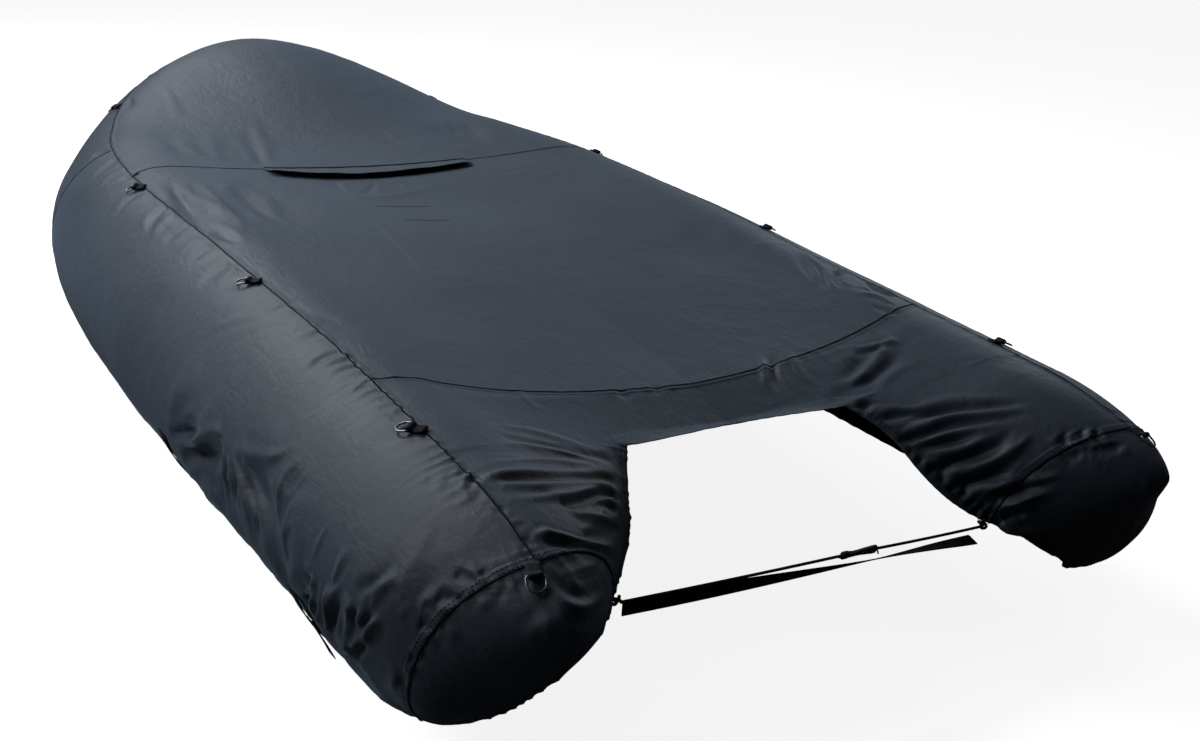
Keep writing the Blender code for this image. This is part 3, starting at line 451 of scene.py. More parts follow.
def build_grids():
    """Grids of points for every panel, which share their points along the seams."""
    grids = {}
    last = notch_row()
    port_leg, port_angles = leg(-1.0, last)
    starboard_leg, starboard_angles = leg(1.0, last)
    rows = list(range(NOTCH_ROW, REAR_ROW + 1))
    stern = deck_rows(rows, mix(NOTCH_Y - NOTCH_ROW_SEAM_Y, REAR_SEAM_BOW, STERN_SHARE))
    fade = np.clip(1.0 - STERN_SHARE / 0.3, 0.0, 1.0)[:, None, None] ** 1.5
    offset = (last - stern[0])[None] * fade
    stern[..., :2] += offset[..., :2]
    inner = stern[:, 1:-1]
    inner[..., 2] = deck_height(inner[..., 0], inner[..., 1])
    lift = last[:, 2] - deck_height(last[:, 0], last[:, 1])
    stern[:, 1:-1, 2] += (lift[None] * fade[..., 0])[:, 1:-1]
    stern[0] = last
    grids["panel_stern_deck"] = [port_leg, starboard_leg[:, ::-1], stern]
    rows = list(range(REAR_ROW, FRONT_ROW + 1))
    middle = deck_rows(rows, mix(REAR_SEAM_BOW, FRONT_SEAM_BOW, MID_SHARE))
    middle[0] = stern[-1]
    grids["panel_mid_deck"] = [middle]
    front = middle[-1]
    arc_half = SEAM[FRONT_ROW:]
    arc = np.concatenate([mirrored(arc_half, -1.0), arc_half[-2::-1]])
    share = eased(BOW_DECK_ROWS, 0.4)[:, None, None]
    bow = mix(front[None], arc[None], share)
    bow[1:-1, 1:-1, 2] = deck_height(bow[1:-1, 1:-1, 0], bow[1:-1, 1:-1, 1])
    bow[:, 0] = front[0]
    bow[:, -1] = front[-1]
    bow[-1] = arc
    grids["panel_bow_deck"] = [bow]
    side = side_panel()
    grids["panel_side_port"] = [mirrored(side, -1.0)]
    grids["panel_side_starboard"] = [side[:, ::-1]]
    grids["panel_bow_side"] = [bow_wrap(side[-1])]
    for word, number, inner_angles, leg_row in (
        ("port", -1.0, port_angles, mirrored(port_leg[0], -1.0)),
        ("starboard", 1.0, starboard_angles, starboard_leg[0]),
    ):
        ring = np.concatenate([side[0], leg_row[1:]])
        lines = mirrored(cap(number, inner_angles, ring), number)
        grids[f"cap_{word}"] = [(lines if number < 0 else lines[:, ::-1])[::-1]]
        LINES[f"cap_seam_{word}"] = mirrored(ring, number)
        LINES[f"cap_hem_{word}"] = lines[-1]
    LINES["side_seam_port"], LINES["side_seam_starboard"] = mirrored(SEAM, -1.0), SEAM
    LINES["rear_seam"], LINES["front_seam"] = middle[0], middle[-1]
    wrap = grids["panel_bow_side"][0]
    LINES["bow_seam_port"], LINES["bow_seam_starboard"] = wrap[0], wrap[-1]
    LINES["hem_port"] = np.concatenate([mirrored(side[:, 0], -1.0), wrap[1 : len(wrap) // 2 + 1, 0]])
    LINES["hem_starboard"] = np.concatenate([side[:, 0], wrap[-2 : len(wrap) // 2 - 1 : -1, 0]])
    LINES["notch_hem"] = last[LEG_COLUMNS : 2 * HALF_COLUMNS - LEG_COLUMNS + 1]
    LINES["leg_hem_port"], LINES["leg_hem_starboard"] = port_leg[:, -1], starboard_leg[:, -1]
    return grids


class Cover:
    """All panels as one surface, so that both sides of a seam share their points and normals."""

    def __init__(self, grids):
        counts = {name: [grid.shape[:2] for grid in panel] for name, panel in grids.items()}
        everything = np.concatenate([grid.reshape(-1, 3) for panel in grids.values() for grid in panel])
        keys = np.round(everything * 1e6).astype(np.int64)
        _, first, ids = np.unique(keys, axis=0, return_index=True, return_inverse=True)
        self.points = everything[first]
        ids = ids.reshape(-1)
        self.faces, self.grid_ids = {}, {}
        start = 0
        for name, shapes in counts.items():
            faces = []
            self.grid_ids[name] = []
            for rows, cols in shapes:
                grid = ids[start : start + rows * cols].reshape(rows, cols)
                start += rows * cols
                self.grid_ids[name].append(grid)
                quads = np.stack([grid[:-1, :-1], grid[:-1, 1:], grid[1:, 1:], grid[1:, :-1]], -1)
                faces.append(quads.reshape(-1, 4))
            faces = np.concatenate(faces)
            ordered = np.sort(faces, 1)
            doubles = (ordered[:, 1:] == ordered[:, :-1]).sum(1)
            self.faces[name] = faces[doubles < 2]

    def normals(self):
        total = np.zeros_like(self.points)
        for faces in self.faces.values():
            p = self.points[faces]
            normal = np.cross(p[:, 2] - p[:, 0], p[:, 3] - p[:, 1])
            for corner in range(4):
                np.add.at(total, faces[:, corner], normal)
        return total / np.maximum(np.linalg.norm(total, axis=1, keepdims=True), 1e-12)

    def tree(self):
        polygons = []
        for faces in self.faces.values():
            polygons += [list(dict.fromkeys(face)) for face in faces.tolist()]
        return BVHTree.FromPolygons(self.points.tolist(), polygons)


def relax(cover, weight, rounds):
    """Smooth the surface where weight is above 0, moving points along their normals only."""
    edges = np.concatenate(
        [faces[:, pair] for faces in cover.faces.values() for pair in ([0, 1], [1, 2], [2, 3], [3, 0])]
    )
    active = weight > 0.01
    edges = edges[active[edges[:, 0]] | active[edges[:, 1]]]
    edges = np.concatenate([edges, edges[:, ::-1]])
    edges = edges[active[edges[:, 0]]]
    count = np.maximum(np.bincount(edges[:, 0], minlength=len(cover.points)), 1)[:, None]
    normals = cover.normals()
    for _ in range(rounds):
        mean = np.stack(
            [np.bincount(edges[:, 0], cover.points[edges[:, 1], k], len(cover.points)) for k in range(3)], -1
        )
        step = np.where(active[:, None], mean / count - cover.points, 0.0)
        along = (step * normals).sum(1) * weight
        cover.points = cover.points + normals * along[:, None]


COVER = Cover(build_grids())
LINE_IDS = {}


def point_finder(points):
    finder = KDTree(len(points))
    for index, point in enumerate(points):
        finder.insert(point, index)
    finder.balance()
    return finder


def find_line_ids():
    """The cover's own points along each seam and hem, so that trims can follow them once it is folded."""
    finder = point_finder(COVER.points.tolist())
    for name, line in LINES.items():
        LINE_IDS[name] = list(dict.fromkeys(finder.find(point)[1] for point in line.tolist()))


find_line_ids()


def smooth_beside_notch():
    """Even out the surface where the legs meet the stern deck."""
    (across, reach_across), (along, reach_along), floor = NOTCH_BLEND
    x, y = np.abs(COVER.points[:, 0]), COVER.points[:, 1]
    blend = np.exp(-(((y - along) / reach_along) ** 2)) * np.exp(-(((x - across) / reach_across) ** 4))
    relax(COVER, np.where(COVER.points[:, 2] > floor, blend, 0.0), SMOOTHING_ROUNDS)


smooth_beside_notch()


def inside_seam(points, inner, outer):
    """1 on the deck well inside the side seam, 0 near it and outside it."""
    seam = point_finder([(x, y, 0.0) for x, y, _ in SEAM.tolist()])
    away = np.array([seam.find((abs(x), y, 0.0))[2] for x, y, _ in points.tolist()])
    return np.clip((away - outer) / (inner - outer), 0.0, 1.0)


def smoothed_height(x, y, reach):
    """The deck's height averaged over a disc, so that no ridge is left along its middle."""
    total, weights = deck_height(x, y), 1.0
    for ring, share, count in ((0.3, 0.9, 6), (0.6, 0.7, 8), (0.9, 0.4, 10)):
        for turn in np.arange(count) * 2.0 * math.pi / count + ring:
            aside, along = reach * ring * math.cos(turn), reach * ring * math.sin(turn)
            total = total + share * deck_height(x + aside, y + along)
            weights += share
    return total / weights


def smooth_foredeck():
    """Round the foredeck well inside its seam."""
    (first_y, fade), (inner, outer) = FOREDECK_BLEND
    on_deck = np.zeros(len(COVER.points), bool)
    for panel in ("panel_bow_deck", "panel_mid_deck"):
        on_deck[np.unique(COVER.faces[panel])] = True
    forward = np.clip((COVER.points[:, 1] - first_y) / fade, 0.0, 1.0)
    share = np.where(on_deck, inside_seam(COVER.points, inner, outer) * forward, 0.0)
    at = share > 0.0
    COVER.points[at, 2] = smoothed_height(COVER.points[at, 0], COVER.points[at, 1], inner * share[at])
    relax(COVER, share**0.5, SMOOTHING_ROUNDS)


def fill_corners():
    """Push out the lower corners of both ends, where the cloth hangs full."""
    corners = [(on_cone(np.array([out]), np.array([up])), *size) for (out, up), *size in FULL_CORNER]
    (y, angle), *size = PORT_CORNER
    corners.append((mirrored(on_roll(length_at(y), angle).reshape(1, 3), -1.0), *size))
    full = np.zeros(len(COVER.points))
    for place, width, height in corners:
        full += height * np.exp(-((np.linalg.norm(COVER.points - place, axis=1) / width) ** 2))
    COVER.points = COVER.points + COVER.normals() * full[:, None]


smooth_foredeck()
fill_corners()
BASE = COVER.points.copy()
BASE_TREE = COVER.tree()


def seen(u, v):
    """Point of the bare surface that the camera sees at a pixel of the photograph."""
    hit = BASE_TREE.ray_cast(CAMERA_AT, pixel_ray(u, v))[0]
    return np.array(hit) if hit else None


def along_pixels(points, step=7.0):
    """Points of the surface along a line drawn on the photograph, given as x1, y1, x2, y2, ..."""
    corners = [(points[k], points[k + 1]) for k in range(0, len(points), 2)]
    length = sum(math.dist(a, b) for a, b in zip(corners, corners[1:]))
    smooth = smooth_through(corners, 2 + int(length / step))
    hits = np.array([hit for hit in (seen(u, v) for u, v in smooth) if hit is not None])
    if len(hits) < 2:
        return hits
    middle = np.median(hits, axis=0)
    reach = 0.15 + 1.2 * np.linalg.norm(hits - middle, axis=1).mean()
    return hits[np.linalg.norm(hits - middle, axis=1) < reach]


def along_roll(side, y1, angle1, y2, angle2):
    """Points along a round side, between two places along the cover and angles."""
    s = np.linspace(float(length_at(y1)), float(length_at(y2)), 9)
    return mirrored(on_roll(s, np.linspace(angle1, angle2, 9)), side)


def along_deck(x1, y1, x2, y2):
    """Points of the bare deck over a straight line in plan."""
    x, y = np.linspace(x1, x2, 9), np.linspace(y1, y2, 9)
    return np.stack([x, y, deck_height(x, y)], -1)


def smoothstep(t):
    t = np.clip(t, 0.0, 1.0)
    return t * t * (3.0 - 2.0 * t)


# Shares of a fold's length over which it fades at its start and end: 0 at both ends, 1 is strong at its
# start, 2 is strong at both ends
FADES = {0: (0.4, 0.4), 1: (0.08, 0.7), 2: (0.08, 0.08)}


def crease(push, line, width, depth, ends):
    """Press a trough, or raise a ridge where depth is below 0, along a line of points."""
    if len(line) < 2:
        return
    low, high = line.min(0) - 3.0 * width, line.max(0) + 3.0 * width
    near = np.where(((BASE > low) & (BASE < high)).all(1))[0]
    p = BASE[near]
    steps = np.linalg.norm(np.diff(line, axis=0), axis=1)
    reached = np.concatenate([[0.0], np.cumsum(steps)])
    best, share = np.full(len(p), np.inf), np.zeros(len(p))
    for a, b, done, step in zip(line, line[1:], reached, steps):
        if step < 1e-6:
            continue
        run = b - a
        t = np.clip((p - a) @ run / step**2, 0.0, 1.0)
        away = np.linalg.norm(p - a - t[:, None] * run, axis=1)
        closer = away < best
        best = np.where(closer, away, best)
        share = np.where(closer, (done + t * step) / reached[-1], share)
    rise, fall = (smoothstep(part / fade) for part, fade in zip((share, 1.0 - share), FADES[ends]))
    wide = width * (1.0 + 0.25 * np.sin(7.0 * share + 40.0 * line[0, 1] + 23.0 * line[0, 0]))
    if depth > 0.0:
        shape = np.exp(-((best / wide) ** 2)) - 0.3 * np.exp(-(((best - 2.1 * wide) / (0.9 * wide)) ** 2))
    else:
        cusp = 0.3 * wide
        shape = np.exp(-(np.sqrt(best**2 + cusp**2) - cusp) / (0.75 * wide))
        shape -= 0.25 * np.exp(-(((best - 1.9 * wide) / (0.8 * wide)) ** 2))
    push[near] += depth * rise * fall * shape


# The folds of the CAD model, on the round sides and on the deck, softer here than there, because finer
# ones are laid over them. Columns: side, first y and angle, last y and angle, half width, depth
SIDE_FOLDS = (
    (-1.0, 1.02, -8.0, 0.83, 8.0, 0.035, 0.012),
    (-1.0, 0.95, -18.0, 0.73, 5.0, 0.035, 0.015),
    (-1.0, 0.72, 14.0, 0.76, -30.0, 0.028, 0.006),
    (-1.0, 0.70, 12.0, 0.66, -32.0, 0.028, 0.006),
    (-1.0, 0.68, 18.0, 0.48, 3.0, 0.045, 0.010),
    (-1.0, 0.48, 3.0, 0.45, -38.0, 0.035, 0.009),
    (-1.0, 0.46, 36.0, 0.47, 8.0, 0.028, 0.005),
    (-1.0, 0.35, 8.0, 0.40, -36.0, 0.024, 0.006),
    (-1.0, 0.27, 4.0, 0.30, -36.0, 0.022, 0.006),
    (-1.0, 0.20, -5.0, 0.23, -36.0, 0.022, 0.006),
    (1.0, 1.25, 40.0, 1.05, 5.0, 0.040, 0.010),
    (1.0, 0.75, 35.0, 0.60, -10.0, 0.045, 0.012),
    (1.0, 0.36, 20.0, 0.30, -30.0, 0.030, 0.009),
)
DECK_FOLDS = (
    (-0.55, 1.86, -0.59, 1.40, 0.045, 0.006),
    (-0.46, 1.84, -0.52, 1.38, 0.045, 0.006),
    (-0.36, 1.88, -0.43, 1.30, 0.045, 0.005),
    (0.34, 2.30, 0.33, 2.02, 0.060, 0.008),
    (0.50, 1.20, 0.30, 0.90, 0.060, 0.006),
)

# Folds drawn on the photograph. Columns: pixels of the line, half width, depth (below 0 a ridge), ends
PHOTO_FOLDS = (
    # two dents on the port side, the fan behind them and the broad valley
    ((171, 434, 188, 429, 207, 428), 0.011, 0.009, 1),
    ((174, 430, 186, 418, 200, 410), 0.010, -0.004, 1),
    ((184, 447, 200, 440, 216, 436), 0.010, -0.006, 1),
    ((183, 458, 202, 456, 222, 447), 0.013, 0.012, 2),
    ((222, 446, 240, 452, 262, 457, 283, 454, 302, 443, 322, 436), 0.010, -0.004, 0),
    ((217, 424, 219, 436, 219, 446), 0.007, -0.003, 0),
    ((224, 453, 222, 473, 219, 497), 0.006, -0.004, 2),
    ((221, 474, 220, 486, 220, 497), 0.006, 0.005, 0),
    ((227, 458, 227, 478, 225, 497), 0.006, 0.006, 0),
    ((228, 456, 230, 480, 233, 500, 237, 517), 0.006, -0.005, 1),
    ((232, 462, 235, 485, 237, 507), 0.006, 0.006, 0),
    ((234, 459, 239, 480, 244, 503, 250, 525, 256, 541), 0.006, -0.005, 1),
    ((243, 474, 249, 500, 256, 524, 260, 542), 0.006, 0.006, 0),
    ((241, 458, 247, 480, 254, 502, 260, 525, 264, 545), 0.006, -0.0035, 1),
    ((205, 474, 211, 484, 216, 494), 0.007, 0.004, 0),
    ((246, 460, 262, 498, 275, 535, 284, 572), 0.028, 0.007, 0),
    ((293, 463, 283, 480, 278, 498, 276, 515, 278, 535), 0.006, -0.003, 0),
    ((312, 466, 300, 482, 287, 496, 281, 504), 0.006, -0.0025, 0),
    ((303, 458, 291, 468, 284, 480), 0.006, -0.002, 0),
    ((296, 496, 288, 514, 284, 530, 285, 550, 291, 578), 0.006, -0.004, 0),
    ((293, 519, 286, 531, 283, 541), 0.006, -0.003, 0),
    ((332, 520, 325, 532, 318, 546, 313, 558), 0.006, -0.002, 0),
    ((353, 543, 343, 558, 336, 575, 330, 592), 0.007, -0.003, 0),
    ((290, 432, 305, 420, 322, 410), 0.006, -0.0015, 0),
    ((258, 404, 275, 392, 290, 380), 0.006, -0.0015, 0),
    ((340, 400, 358, 386, 372, 372), 0.007, -0.002, 0),
    ((383, 430, 392, 415, 402, 403), 0.006, -0.0015, 0),
    # low on the port side by the stern
    ((303, 573, 309, 582, 312, 592), 0.009, 0.005, 0),
    ((317, 580, 308, 592, 304, 606), 0.006, -0.005, 1),
    ((310, 593, 306, 604, 304, 612), 0.007, 0.008, 0),
    ((320, 590, 313, 600, 310, 613), 0.006, -0.004, 0),
    ((319, 600, 316, 612, 314, 620), 0.006, 0.006, 0),
    ((324, 588, 320, 603, 317, 618), 0.006, -0.004, 0),
    ((331, 586, 327, 600, 325, 618, 327, 632), 0.006, -0.006, 2),
    ((342, 584, 333, 596, 328, 610), 0.006, -0.006, 0),
    ((342, 596, 335, 608, 330, 622, 328, 632), 0.009, 0.012, 0),
    ((345, 593, 349, 608, 348, 628, 345, 650), 0.006, -0.006, 2),
    ((357, 605, 352, 618, 349, 634), 0.007, 0.008, 0),
    ((400, 577, 382, 585, 364, 597, 351, 611), 0.008, -0.008, 1),
    ((383, 576, 367, 587, 352, 598), 0.010, 0.006, 0),
    ((391, 584, 379, 593, 370, 608, 360, 622, 349, 644), 0.007, -0.007, 1),
    ((377, 602, 369, 613, 361, 627, 352, 641), 0.008, 0.009, 0),
    ((380, 618, 367, 631, 354, 646, 344, 656), 0.008, -0.007, 1),
    ((369, 641, 358, 651, 350, 660), 0.008, 0.008, 0),
    ((385, 640, 395, 600, 415, 560, 450, 520), 0.026, -0.006, 0),
    ((425, 560, 436, 540, 452, 528), 0.014, 0.003, 0),
    ((455, 574, 468, 577, 479, 590), 0.006, 0.007, 2),
    ((460, 568, 474, 572, 486, 584), 0.006, -0.004, 0),
    ((480, 571, 492, 580), 0.006, 0.005, 2),
    ((436, 598, 450, 598, 463, 601), 0.007, 0.007, 2),
    ((437, 603, 449, 616), 0.006, -0.003, 0),
    ((440, 597, 425, 600, 420, 614), 0.007, -0.005, 0),
    ((418, 625, 428, 627, 437, 634), 0.007, 0.009, 2),
    ((408, 657, 421, 662), 0.006, 0.008, 2),
    ((404, 604, 400, 620), 0.008, -0.003, 0),
    ((395, 672, 390, 690), 0.008, -0.004, 0),
    ((408, 672, 398, 690), 0.009, 0.006, 0),
    # short gathers in the port side seam
    ((474, 478, 466, 493), 0.006, 0.007, 1),
    ((466, 468, 455, 480), 0.006, 0.005, 1),
    ((458, 458, 444, 466), 0.006, 0.003, 1),
    ((481, 491, 470, 504), 0.007, 0.006, 1),
    ((470, 474, 458, 488), 0.006, -0.004, 1),
    ((448, 470, 450, 494), 0.009, 0.003, 0),
    ((433, 468, 431, 492), 0.009, 0.003, 0),
    ((506, 508, 494, 517), 0.006, 0.004, 1),
    ((520, 520, 504, 526), 0.006, -0.003, 1),
    ((522, 536, 533, 549), 0.008, 0.006, 0),
    ((140, 174, 126, 178, 112, 184), 0.011, 0.006, 1),
    ((128, 168, 108, 178, 92, 196), 0.010, -0.004, 1),
    ((119, 158, 100, 172, 84, 192), 0.010, 0.004, 1),
    ((112, 150, 98, 154, 88, 162), 0.010, 0.005, 0),
    ((150, 188, 130, 200, 112, 220), 0.012, 0.003, 0),
    ((168, 206, 155, 218, 146, 236), 0.010, 0.006, 1),
    ((178, 214, 160, 226, 148, 244), 0.010, -0.005, 1),
    ((188, 224, 172, 236, 160, 254), 0.010, 0.004, 1),
    ((200, 236, 184, 248, 172, 266), 0.010, -0.003, 1),
    ((212, 244, 198, 254, 184, 270), 0.010, 0.004, 1),
    ((228, 262, 212, 274, 196, 290), 0.010, 0.005, 1),
    ((238, 268, 222, 280, 204, 298), 0.009, -0.005, 1),
    ((250, 280, 228, 294, 206, 304), 0.010, 0.004, 1),
    ((286, 300, 270, 308, 256, 320), 0.009, -0.004, 1),
    ((296, 305, 280, 310, 268, 320), 0.009, 0.007, 1),
    ((306, 316, 292, 326, 280, 340), 0.009, -0.003, 1),
    ((322, 330, 305, 342, 290, 356), 0.010, 0.005, 1),
    ((344, 350, 322, 358, 306, 374, 298, 388), 0.009, 0.008, 1),
    ((350, 354, 328, 364, 312, 382), 0.008, -0.006, 1),
    ((360, 364, 338, 374, 322, 390), 0.008, 0.005, 1),
    ((374, 376, 356, 386, 344, 400), 0.008, -0.004, 1),
    ((385, 388, 366, 396, 352, 410), 0.008, 0.003, 1),
    ((205, 330, 235, 320, 268, 312), 0.008, -0.003, 0),
    ((155, 326, 168, 304, 180, 290), 0.008, 0.003, 0),
    ((225, 345, 262, 330, 290, 322), 0.009, 0.002, 0),
    # the port leg, dragged in from the corner of the notch
    ((488, 424, 530, 430, 572, 442, 602, 454), 0.008, -0.004, 0),
    ((500, 436, 545, 444, 590, 455, 615, 461), 0.008, 0.005, 2),
    ((480, 441, 540, 448, 590, 459, 618, 466), 0.007, -0.005, 0),
    ((480, 452, 530, 453, 585, 462), 0.008, 0.004, 0),
    ((470, 463, 530, 460, 580, 464, 618, 474), 0.007, -0.006, 0),
    ((478, 479, 505, 473, 550, 471, 600, 472, 620, 477), 0.007, -0.007, 1),
    ((490, 478, 550, 477, 600, 478, 620, 484), 0.007, 0.009, 2),
    ((500, 486, 550, 485, 598, 483, 612, 482), 0.006, -0.007, 0),
    ((480, 490, 520, 491, 560, 488), 0.007, 0.004, 0),
    ((510, 501, 550, 497, 578, 493, 603, 486), 0.007, -0.010, 0),
    ((560, 504, 585, 498, 606, 494, 619, 499), 0.010, 0.015, 2),
    ((592, 507, 606, 504, 617, 512), 0.007, 0.012, 2),
    ((597, 500, 610, 499, 619, 507), 0.005, -0.006, 2),
    ((556, 503, 573, 512, 597, 517, 618, 522), 0.007, -0.007, 0),
    ((583, 536, 602, 533, 620, 528), 0.008, 0.007, 2),
    ((537, 523, 538, 536), 0.006, 0.005, 0),
    ((528, 530, 560, 537, 592, 545, 624, 549), 0.007, -0.010, 1),
    ((537, 546, 560, 544, 582, 551), 0.010, 0.008, 0),
    # the port cap
    ((543, 573, 553, 590, 566, 605, 582, 609, 598, 599, 604, 588), 0.008, -0.008, 0),
    ((549, 568, 560, 584, 574, 594, 592, 598), 0.009, 0.007, 0),
    ((556, 577, 575, 571, 600, 563), 0.006, -0.003, 0),
    ((604, 562, 604, 592), 0.006, -0.004, 0),
    ((500, 588, 506, 606), 0.007, 0.004, 1),
    ((482, 598, 488, 614), 0.007, -0.004, 1),
    ((520, 580, 528, 600), 0.008, 0.004, 1),
    ((447, 627, 461, 646), 0.007, -0.004, 1),
    ((436, 640, 446, 656), 0.007, 0.004, 1),
    ((520, 641, 548, 622, 575, 612), 0.012, -0.006, 0),
    ((545, 642, 552, 622), 0.009, -0.003, 0),
    # the starboard leg, gathered along its inner hem
    ((832, 408, 848, 390, 880, 374), 0.010, 0.004, 0),
    ((838, 412, 858, 400, 880, 391), 0.008, -0.003, 0),
    ((845, 417, 860, 408, 885, 400), 0.007, 0.004, 1),
    ((862, 428, 885, 418, 925, 411), 0.007, 0.007, 0),
    ((893, 432, 910, 420, 945, 411, 990, 407, 1037, 403), 0.010, 0.011, 0),
    ((890, 438, 910, 426, 950, 417, 1000, 411, 1036, 407), 0.008, -0.008, 0),
    ((900, 441, 925, 435, 950, 427, 990, 420, 1035, 414), 0.009, 0.011, 1),
    ((888, 447, 918, 441, 950, 433, 985, 427, 1010, 418), 0.008, -0.009, 0),
    ((908, 458, 922, 447, 950, 441, 985, 436), 0.008, 0.009, 0),
    ((918, 462, 940, 452, 962, 446, 990, 438, 1012, 430), 0.008, -0.008, 0),
    ((934, 475, 950, 463, 975, 455, 1010, 445), 0.008, 0.014, 1),
    ((944, 480, 972, 468, 1000, 457, 1020, 442, 1037, 430), 0.010, -0.009, 0),
    ((958, 487, 980, 479, 1002, 473, 1014, 458), 0.009, 0.015, 1),
    ((978, 494, 1000, 485, 1022, 476), 0.008, -0.008, 0),
    ((1003, 464, 1018, 448, 1036, 433), 0.006, -0.003, 0),
    ((871, 440, 878, 428), 0.006, 0.005, 1),
    ((880, 445, 888, 432), 0.006, 0.006, 1),
    ((892, 451, 904, 440), 0.006, 0.007, 1),
    ((905, 458, 914, 447), 0.006, 0.007, 1),
    ((917, 465, 924, 452), 0.006, 0.006, 1),
    ((929, 473, 935, 462), 0.006, 0.011, 1),
    ((941, 482, 948, 471), 0.006, 0.008, 1),
    ((950, 491, 962, 481), 0.006, 0.008, 1),
    ((957, 499, 970, 488), 0.006, 0.009, 1),
    ((965, 507, 980, 494), 0.006, 0.009, 1),
    ((972, 513, 989, 500), 0.006, 0.010, 1),
    ((979, 519, 994, 508), 0.006, 0.010, 1),
    # the starboard cap
    ((990, 505, 1012, 493, 1045, 484, 1062, 482), 0.009, 0.009, 1),
    ((996, 508, 1020, 500, 1050, 492, 1063, 490), 0.009, -0.011, 1),
    ((1000, 514, 1020, 511, 1045, 508), 0.010, 0.008, 1),
    ((1003, 517, 1028, 526, 1052, 528), 0.008, 0.006, 1),
    ((1000, 522, 1015, 530, 1035, 535, 1052, 537), 0.009, -0.011, 1),
    ((1018, 486, 1045, 478, 1068, 475), 0.008, -0.005, 0),
    ((1064, 446, 1065, 429), 0.007, 0.007, 1),
    ((1074, 443, 1075, 431), 0.006, 0.004, 1),
    ((1082, 440, 1082, 427), 0.006, 0.005, 1),
    ((1089, 439, 1089, 427), 0.006, -0.003, 1),
    ((1097, 438, 1096, 425), 0.006, 0.005, 1),
    ((1068, 452, 1071, 470), 0.008, 0.004, 1),
    ((1077, 450, 1079, 464), 0.006, 0.005, 1),
    ((1086, 448, 1088, 462), 0.006, 0.005, 1),
    ((1096, 446, 1098, 461), 0.006, 0.006, 1),
    ((1105, 444, 1104, 462), 0.006, 0.006, 1),
    ((1112, 443, 1110, 460), 0.006, 0.006, 1),
    ((1119, 443, 1114, 459), 0.006, 0.005, 1),
    ((1142, 478, 1148, 492, 1155, 505), 0.008, -0.005, 0),
    ((1132, 515, 1130, 535, 1129, 550), 0.007, -0.005, 0),
    # the stern deck
    ((905, 322, 882, 350, 855, 382, 836, 405), 0.013, -0.005, 0),
    ((888, 338, 862, 363, 838, 388), 0.013, 0.005, 0),
    ((908, 350, 882, 371, 855, 396), 0.013, 0.005, 0),
    ((770, 353, 774, 372, 781, 392), 0.009, 0.005, 0),
    ((762, 356, 764, 375, 768, 395), 0.009, -0.004, 0),
    ((790, 352, 800, 372, 815, 388), 0.010, -0.003, 0),
    ((862, 349, 880, 345, 905, 340), 0.008, -0.003, 0),
    ((845, 356, 872, 350, 898, 346), 0.008, 0.003, 0),
    ((655, 383, 660, 397), 0.010, 0.003, 0),
    ((620, 387, 628, 402), 0.010, 0.003, 0),
    ((515, 386, 530, 402, 545, 412), 0.007, -0.002, 0),
    # the mid deck
    ((796, 252, 806, 268, 816, 284), 0.008, 0.004, 0),
    ((803, 250, 815, 262, 828, 270), 0.007, -0.004, 0),
    ((832, 256, 850, 262, 836, 273), 0.008, -0.005, 0),
    ((843, 270, 834, 280, 850, 290), 0.008, 0.005, 0),
    ((812, 262, 822, 274, 826, 292), 0.007, 0.004, 0),
    ((828, 276, 832, 290, 830, 312), 0.007, -0.002, 0),
    ((862, 280, 880, 292, 905, 300), 0.008, 0.005, 0),
    ((850, 292, 875, 296, 898, 306), 0.008, -0.004, 0),
    ((870, 305, 888, 312, 903, 315), 0.007, 0.003, 0),
    ((740, 250, 775, 243, 800, 246), 0.008, -0.002, 0),
    ((465, 192, 520, 182, 590, 162), 0.008, -0.002, 0),
    ((470, 180, 530, 168, 560, 160), 0.008, 0.0015, 0),
    ((355, 200, 390, 235, 420, 268, 442, 292), 0.008, -0.002, 0),
    ((300, 182, 340, 192, 372, 197, 410, 193, 448, 183), 0.015, -0.005, 0),
    ((318, 181, 345, 187, 370, 190), 0.009, 0.005, 0),
    ((375, 179, 371, 189, 360, 197), 0.008, 0.005, 0),
    ((392, 183, 403, 187, 414, 186), 0.008, 0.005, 0),
    ((340, 182, 347, 190, 358, 196), 0.008, -0.004, 0),
    ((165, 176, 190, 208, 212, 236), 0.018, 0.009, 0),
    ((198, 178, 222, 205, 250, 232), 0.018, -0.007, 0),
    ((232, 182, 258, 208, 285, 225), 0.018, 0.007, 0),
    ((215, 225, 225, 236, 240, 244), 0.012, 0.005, 0),
    ((300, 308, 335, 322, 362, 340), 0.016, 0.004, 0),
    ((365, 312, 385, 325, 400, 338), 0.016, -0.003, 0),
    # the bow deck
    ((155, 75, 172, 100, 181, 128), 0.014, -0.004, 0),
    ((262, 166, 253, 146, 240, 122), 0.015, 0.006, 1),
    ((272, 163, 262, 142, 252, 118), 0.015, -0.005, 0),
    ((160, 128, 178, 150, 200, 165), 0.022, 0.005, 0),
    ((205, 122, 214, 150, 224, 166), 0.018, -0.004, 0),
    ((455, 108, 472, 130, 492, 152), 0.018, 0.007, 0),
    ((432, 104, 447, 128, 460, 150), 0.016, -0.005, 0),
    ((474, 112, 490, 130, 505, 150), 0.014, -0.005, 0),
    ((345, 97, 375, 88, 405, 82), 0.022, -0.004, 0),
    ((128, 98, 132, 108), 0.010, 0.006, 0),
)


DECKS = ("panel_mid_deck", "panel_stern_deck", "panel_bow_deck")
